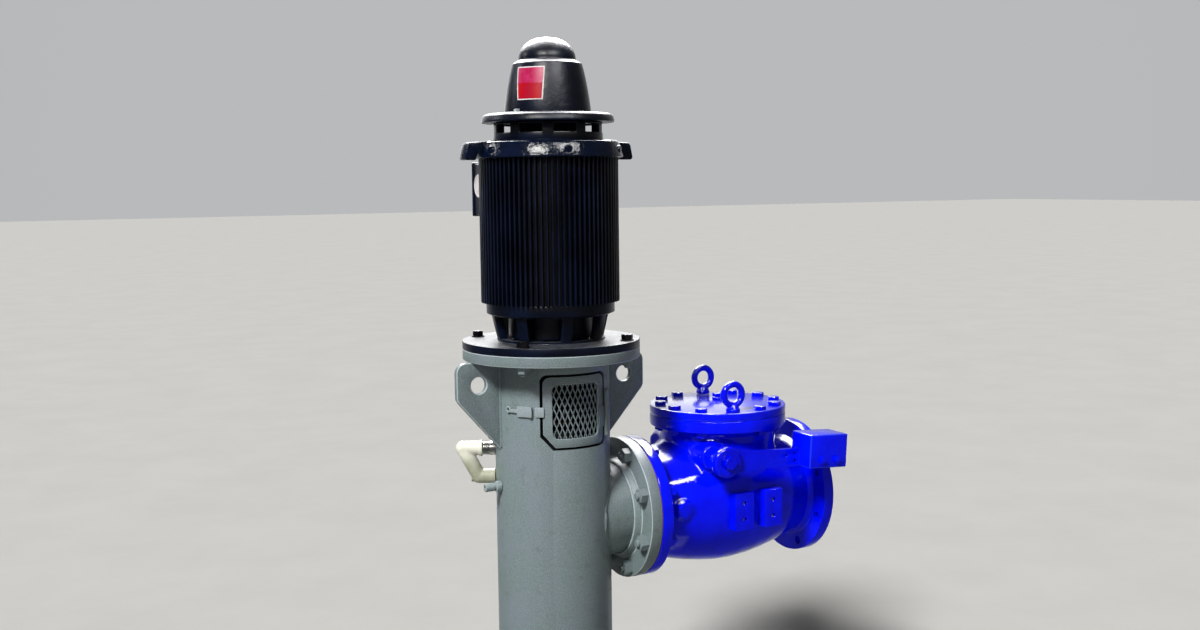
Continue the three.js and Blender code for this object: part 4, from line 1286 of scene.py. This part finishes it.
def on_cover(angle):
    """A place on the cover's bolt circle."""
    turn = math.radians(angle)
    return BONNET_X + BOLT_CIRCLE * math.cos(turn), BOLT_CIRCLE * math.sin(turn)


angles = [12.5 + 30 * k for k in range(12)]
angles = [angle for angle in angles if angle not in (FRONT_EYE, REAR_EYE)]
places = [((*on_cover(angle), COVER_TOP), (0, 0, 1), 23 * k) for k, angle in enumerate(angles)]
dress(spread("cover_bolts", hexagon("bolt", 27, 9.5), places), "stand", **BLUE)
under = [((x, y, BONNET_LOW), (0, 0, -1), spin) for (x, y, _), _, spin in places]
dress(spread("cover_bolt_nuts", hexagon("nut", 28, 12, stud=4, thread=8), under), "stand", **BLUE)


def eyebolt(name, angle):
    """A forged lifting eye that faces -Y: ring and flared collar melted together."""
    x, y = on_cover(angle)
    ring = torus("ring", 25.7, 8.4, (56, 20), (x, y, COVER_TOP + 42.5))
    profile = [(0, GAP), (17.5, GAP), (17.5, 8), (15, 11), (12.5, 16), (10, 20), (0, 20)]
    neck = turned("neck", [(r, COVER_TOP + h) for r, h in profile], 32, centre=(x, y, 0))
    return melted(name, 1.4, 5, neck, ring)


for place, angle in (("front", FRONT_EYE), ("rear", REAR_EYE)):
    dress(eyebolt(f"eyebolt_{place}", angle), "stand", nodes=[f"valve_eyebolt_{place}"], **BLUE)
plug_x, plug_y, flat = 489, 42, 9.5
plug = block("square", (plug_x - flat, plug_y - flat, COVER_TOP + 6),
             (plug_x + flat, plug_y + flat, COVER_TOP + 16))
soften(plug, 1.5, 3)
profile = [(0, GAP), (13.5, GAP), (13.5, 5.5), (12, 7), (0, 7)]
plug_base = turned("plug_base", [(r, COVER_TOP + h) for r, h in profile], 32, centre=(plug_x, plug_y, 0))
dress(joined("cover_plug", plug, soften(plug_base, 0.8)), "stand", nodes=["valve_cover_plug"], **BLUE)
print("cover with", len(angles), "bolts and two eyebolts")

# %% [markdown]
# ## Lever and weight
# The disc's shaft comes out through a packing nut and carries a cast lever with a sliding counterweight.
# They are modelled level about the pivot and then droop with it by a few degrees.

# %% Lever, weight and packing nut
nut = spread("packing_nut_hex", hexagon("packing_nut", 52, 27), [(at_pivot(-140.3), (0, -1, 0), 12)])
carve(nut, rod("bore", SHAFT_BORE, at_pivot(-180), at_pivot(-130), 32))
dress(soften(nut, 0.8), "stand", nodes=["hinge_packing_nut"], **BLUE)


def on_lever(piece):
    """Drops a piece modelled about the pivot to where the lever hangs."""
    return moved(piece, by=at_pivot(0), turn=LEVER_DROOP, axis="Y")


HINGE_SHAFT = [(0, -216), (14.5, -216), (15.7, -214.8), (15.7, 105), (14.7, 106), (0, 106)]
shaft = turned("hinge_shaft_steel", HINGE_SHAFT, 40, "Y")
dress(on_lever(shaft), "valve_lever", nodes=["hinge_shaft"], **BLUE)

arm = plate("lever_arm_cast", [(0, -36), (90, -20), (306, -20), (306, 24), (78, 24), (0, 37)], -195.7, -184.3)
spots = ((172, 8, 3.5), (196, 12, 3), (198, -6, 4))
carve(arm, *[rod("hole", r, (x, -205, z), (x, -175, z), 16) for x, z, r in spots])
soften(arm, 2.4, 3)
hub = turned("hub", [(16, -206), (33, -206), (38, -202), (38, -182), (36, -178), (16, -178)], 64, "Y")
key = block("key", (-4, -210, 13), (4, -196, 19))
arm = joined("lever_arm_cast", soften(key, 0.6), soften(hub, 1.5), arm)
dress(on_lever(arm), "valve_lever", nodes=["lever_arm"], **BLUE)

weight = block("counterweight_block", (206, -246, -18), (316, -167, 64))
carve(weight, block("slot", (200, -196, -30), (306.3, -184, 24.3)))
dress(on_lever(soften(weight, 3, 3)), "valve_lever", nodes=["lever_weight"], **BLUE)
places = [((x, -246, 2), (0, -1, 0), spin) for x, spin in ((240, 5), (284, 31))]
clamp = spread("weight_clamp_screws", hexagon("clamp", 16, 8), places)
dress(on_lever(clamp), "valve_lever", **BLUE)

DISC = [(0, 304.3), (104, 304.3), (108, 307), (108, 318), (100, 322), (40, 327), (0, 328)]
disc = on_outlet("valve_disc_bronze", DISC)
swing = plate("swing", [(342, 806), (318, 770), (318, 640), (348, 640), (356, 700), (390, 806)], -18, 18)
swing_hub = rod("swing_hub", 28, at_pivot(-30), at_pivot(30), 48)
disc = joined("valve_disc_bronze", soften(swing, 4, 3), soften(swing_hub, 2), soften(disc, 1))
dress(disc, "valve_lever", "bronze", BRONZE, nodes=["valve_disc"])
print("lever and disc")

# %% [markdown]
# ## Motor
# The motor is a stack of turned castings. Its foot has eight openings between ribs, cut with wedges. The
# frame's cooling fins are one tapered bar, spun round with copies. The cap is a bell with a dome on top.

# %% Motor foot


def wedges(count, first, reach, outer, inner, low, high):
    """One cutter for openings between ribs, each reach degrees to both sides of its middle."""
    parts = []
    for k in range(count):
        middle = first + 360 * k / count
        outline = arc((0, 0), outer, middle - reach, middle + reach, 4)
        outline += arc((0, 0), inner, middle + reach, middle - reach, 4)
        parts.append(plate("wedge", outline, low, high, "XY"))
    return joined("wedges", *parts)


PEDESTAL = [(19.5, 1114), (100, 1114), (100, 1172), (120, 1172), (108, FLANGE_TOP), (90, FLANGE_TOP),
            (90, MOTOR_FOOT), (MOTOR_FLANGE_R, MOTOR_FOOT), (MOTOR_FLANGE_R, FLANGE_TOP), (128, FLANGE_TOP),
            (128, 1112), (141, 1169), (151, 1172), (151, 1197), (19.5, 1197)]
foot = turned("motor_foot_casting", PEDESTAL, 144)
carve(foot, wedges(8, -76.5, 17, 165, 104, 1113, 1167))
soften(foot, 2, 2, 40)
dress(foot, "stand", "navy_paint", MOTOR_DUST_AND_SHEEN, MOTOR_EDGE_HIGHLIGHT, nodes=["motor_base"])
FOOT_CIRCLE = 187.3
places = ring_of(4, FOOT_CIRCLE, -45, FLANGE_TOP)
dress(spread("motor_foot_bolts", hexagon("bolt", 24, 12, washer=2.5), places), "stand", **BLACK)
under = ring_of(4, FOOT_CIRCLE, -45, HEAD_FLANGE_BOTTOM, -1)
nut = hexagon("nut", 24, 13, washer=2.5, stud=6, thread=8)
dress(spread("head_flange_nuts", nut, under), "stand", **GREY)
print("motor foot", len(foot.data.polygons), "faces")

# %% Finned frame
drum = turned("drum", tube(0, 150, 1197.3, 1531.2), 160)
FIN = [(148, -3.2), (161.6, -2.3), (163, -1.2), (163, 1.2), (161.6, 2.3), (148, 3.2)]
fin = plate("fin", FIN, 1197.5, 1531, "XY")
edit(fin)
bpy.ops.mesh.spin(dupli=True, steps=80, angle=2 * math.pi, center=(0, 0, 0), axis=(0, 0, 1))
bpy.ops.object.mode_set(mode="OBJECT")
fins = dress(joined("motor_frame_fins", fin, drum), "stand", nodes=["motor_finned_frame"], **NAVY)
print("finned frame", len(fins.data.polygons), "faces")

# %% Top ring, neck and canopy
RING = [(0, 1531.5), (172.5, 1531.5), (174.6, 1532.6), (175, 1535), (166.8, 1562), (164.5, 1567), (158, 1571),
        (0, 1571)]
ring = turned("ring", RING, 144)
LUG = [(150, 1532), (174, 1532), (184, 1544), (189, 1527), (211, 1527), (215, 1532), (209, 1561), (204, 1567),
       (150, 1570)]
lugs = [moved(soften(plate("lug", LUG, -19, 19), 2.5, 3), turn=turn) for turn in (0, 180)]
bosses = []
for angle in (-74, -10, 48, 106, 170, 228):
    out = Vector((math.sin(math.radians(angle)), -math.cos(math.radians(angle)), 0))
    bosses.append(soften(rod("boss", 9.5, (*(out * 160).xy, 1549), (*(out * 174).xy, 1549), 28), 2.5, 3))
top_ring = joined("motor_top_ring_casting", *bosses, *lugs, soften(ring, 1.5, 2, 25))
dress(top_ring, "stand", "navy_paint", MOTOR_GLOSS, MOTOR_GLOSS, nodes=["motor_top_ring"])

NECK = [(0, 1571.3), (128, 1571.3), (128, 1612), (112, 1612), (112, 1577.3), (80, 1577.3), (80, 1612),
        (0, 1612)]
neck = turned("motor_neck_casting", NECK, 120)
carve(neck, wedges(10, -61.2, 12, 140, 100, 1589, 1608))
dress(soften(neck, 1.5, 2, 40), "stand", nodes=["motor_neck"], **NAVY)

BRIM = [(0, 1612.3), (151, 1612.3), (154.6, 1613.2), (155.8, 1615.6), (152.8, 1625.6), (151, 1628.6),
        (144, 1632.8), (126, 1634), (104, 1636), (0, 1636)]
brim = soften(turned("motor_brim_casting", BRIM, 144), 1.5, 2, 40)
dress(brim, "stand", "navy_paint", CAP_GLOSS, MOTOR_EDGE_HIGHLIGHT, nodes=["motor_canopy_brim"])
screws = spread("brim_screws", hexagon("bolt", 13, 7, washer=1.5), ring_of(2, 128, -148, 1631.6))
dress(screws, "stand", **ZINC)

SKIRT = [(101, 1636.3), (100.8, 1642), (100, 1650), (98.9, 1658), (97.4, 1670), (95.3, 1683), (92.7, 1698),
         (89.2, 1716), (85.9, 1731), (83.5, 1740)]
CAP = [(0, 1636.3), *SKIRT, (82.4, 1745), (81.7, 1747), (79.8, 1748.6), (68.2, 1755), (67.2, 1756.4),
       (67.2, 1760), (66.8, 1764), (65.5, 1770), (62.6, 1777), (58, 1784), (52.3, 1791), (45.5, 1797),
       (37, 1802), (27, 1806), (14, 1808.4), (0, 1809)]
cap = turned("motor_cap_bell", CAP, 144)
dress(cap, "stand", "navy_paint", CAP_GLOSS, MOTOR_EDGE_HIGHLIGHT, nodes=["motor_canopy_cap"], smooth=50)
print("canopy cap", round(cap.dimensions.z / MM), "mm high")

# %% [markdown]
# A square plate is stuck on the bell's skirt. It follows the bell's curve, so it is the skirt's own
# profile, a hair further out, spun through 40 degrees only. Its points then slide round the bell, because
# a flat plate's sides don't follow a cone. It is left bare.

# %% Cap plate


def skirt_radius(height):
    """The bell's radius at a height, from its profile."""
    for (r0, z0), (r1, z1) in zip(SKIRT, SKIRT[1:]):
        if z0 <= height <= z1:
            return r0 + (r1 - r0) * (height - z0) / (z1 - z0)
    return SKIRT[-1][0]


PLATE_LOW, PLATE_SEAM, PLATE_HIGH = 1661.5, 1699.5, 1737


def patch(name, low, high, inset, outer):
    """A thin plate on the skirt. Its sides lean as the plate's do, inset degrees inside its outline."""
    heights = [low + (high - low) * k / 8 for k in range(9)]
    profile = [(skirt_radius(z) + outer, z) for z in heights]
    profile += [(skirt_radius(z) - 0.5, z) for z in reversed(heights)]
    wide = 40
    piece = turned(name, profile, 20, turn=wide, start=-90 - wide / 2)
    for corner in piece.data.vertices:
        rise = (corner.co.z / MM - PLATE_LOW) / (PLATE_HIGH - PLATE_LOW)
        first, last = -68.5 - 7.3 * rise + inset, -31.2 + 3.0 * rise - inset
        across = math.degrees(math.atan2(corner.co.x, -corner.co.y)) / wide + 0.5
        angle, reach = math.radians(first + (last - first) * across), corner.co.xy.length
        corner.co.x, corner.co.y = reach * math.sin(angle), -reach * math.cos(angle)
    return piece


dress(patch("cap_plate_border", PLATE_LOW, PLATE_HIGH, 0, 0.7), "stand", "navy_paint", PLATE_WHITE)
dress(patch("cap_plate_face", 1664.3, PLATE_SEAM, 1.9, 1.1), "stand", "navy_paint", PLATE_RED)
dress(patch("cap_plate_faded_face", PLATE_SEAM, 1734.3, 1.9, 1.0), "stand", "navy_paint", PLATE_PINK)
print("plate on the cap")

# %% Terminal box
box = block("box", (-80, 172, 1396), (80, 268, 1523))
box_neck = block("box_neck", (-55, 140, 1416), (55, 176, 1503))
terminal = joined("terminal_box_casting", soften(box_neck, 3), soften(box, 5, 3))
dress(terminal, "stand", nodes=["terminal_box"], **NAVY)
lid = soften(block("terminal_box_lid", (-83, 268.3, 1393), (83, 276, 1526)), 3, 3)
dress(lid, "stand", nodes=["terminal_box_cover"], **NAVY)
lid_screws = spread("terminal_lid_screws", hexagon("bolt", 10, 4.5, washer=1),
                    [((x, 276, z), (0, 1, 0), 9 * x) for x in (-72, 72) for z in (1404, 1515)])
dress(lid_screws, "stand", **ZINC)
BADGE = [(0, 79.5), (28.5, 79.5), (28.5, 82), (26.5, 82.6), (24.5, 82), (24.5, 81.2), (0, 81.2)]
badge = moved(turned("box_badge_rim", BADGE, 48, "X"), by=(0, 233, 1468), turn=180)
dress(badge, "stand", "navy_paint", PLATE_WHITE)
print("terminal box")

# %% [markdown]
# ## Floor
# The floor is only a stage. It runs far back so that its far edge lies at the horizon.

# %% Floor
start_clean()
bpy.ops.mesh.primitive_plane_add(size=120, location=(0, 0, 0))
floor = bpy.context.object
floor.name = "studio_floor"
floor.data.materials.append(FLOOR_PALE)
floor.visible_glossy = False
floor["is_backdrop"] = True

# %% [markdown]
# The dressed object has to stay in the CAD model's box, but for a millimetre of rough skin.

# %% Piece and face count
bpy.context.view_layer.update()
faces = sum(len(o.data.polygons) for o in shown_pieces() if o.type == "MESH")
print(len(made_pieces), "pieces made,", faces, "faces shown")
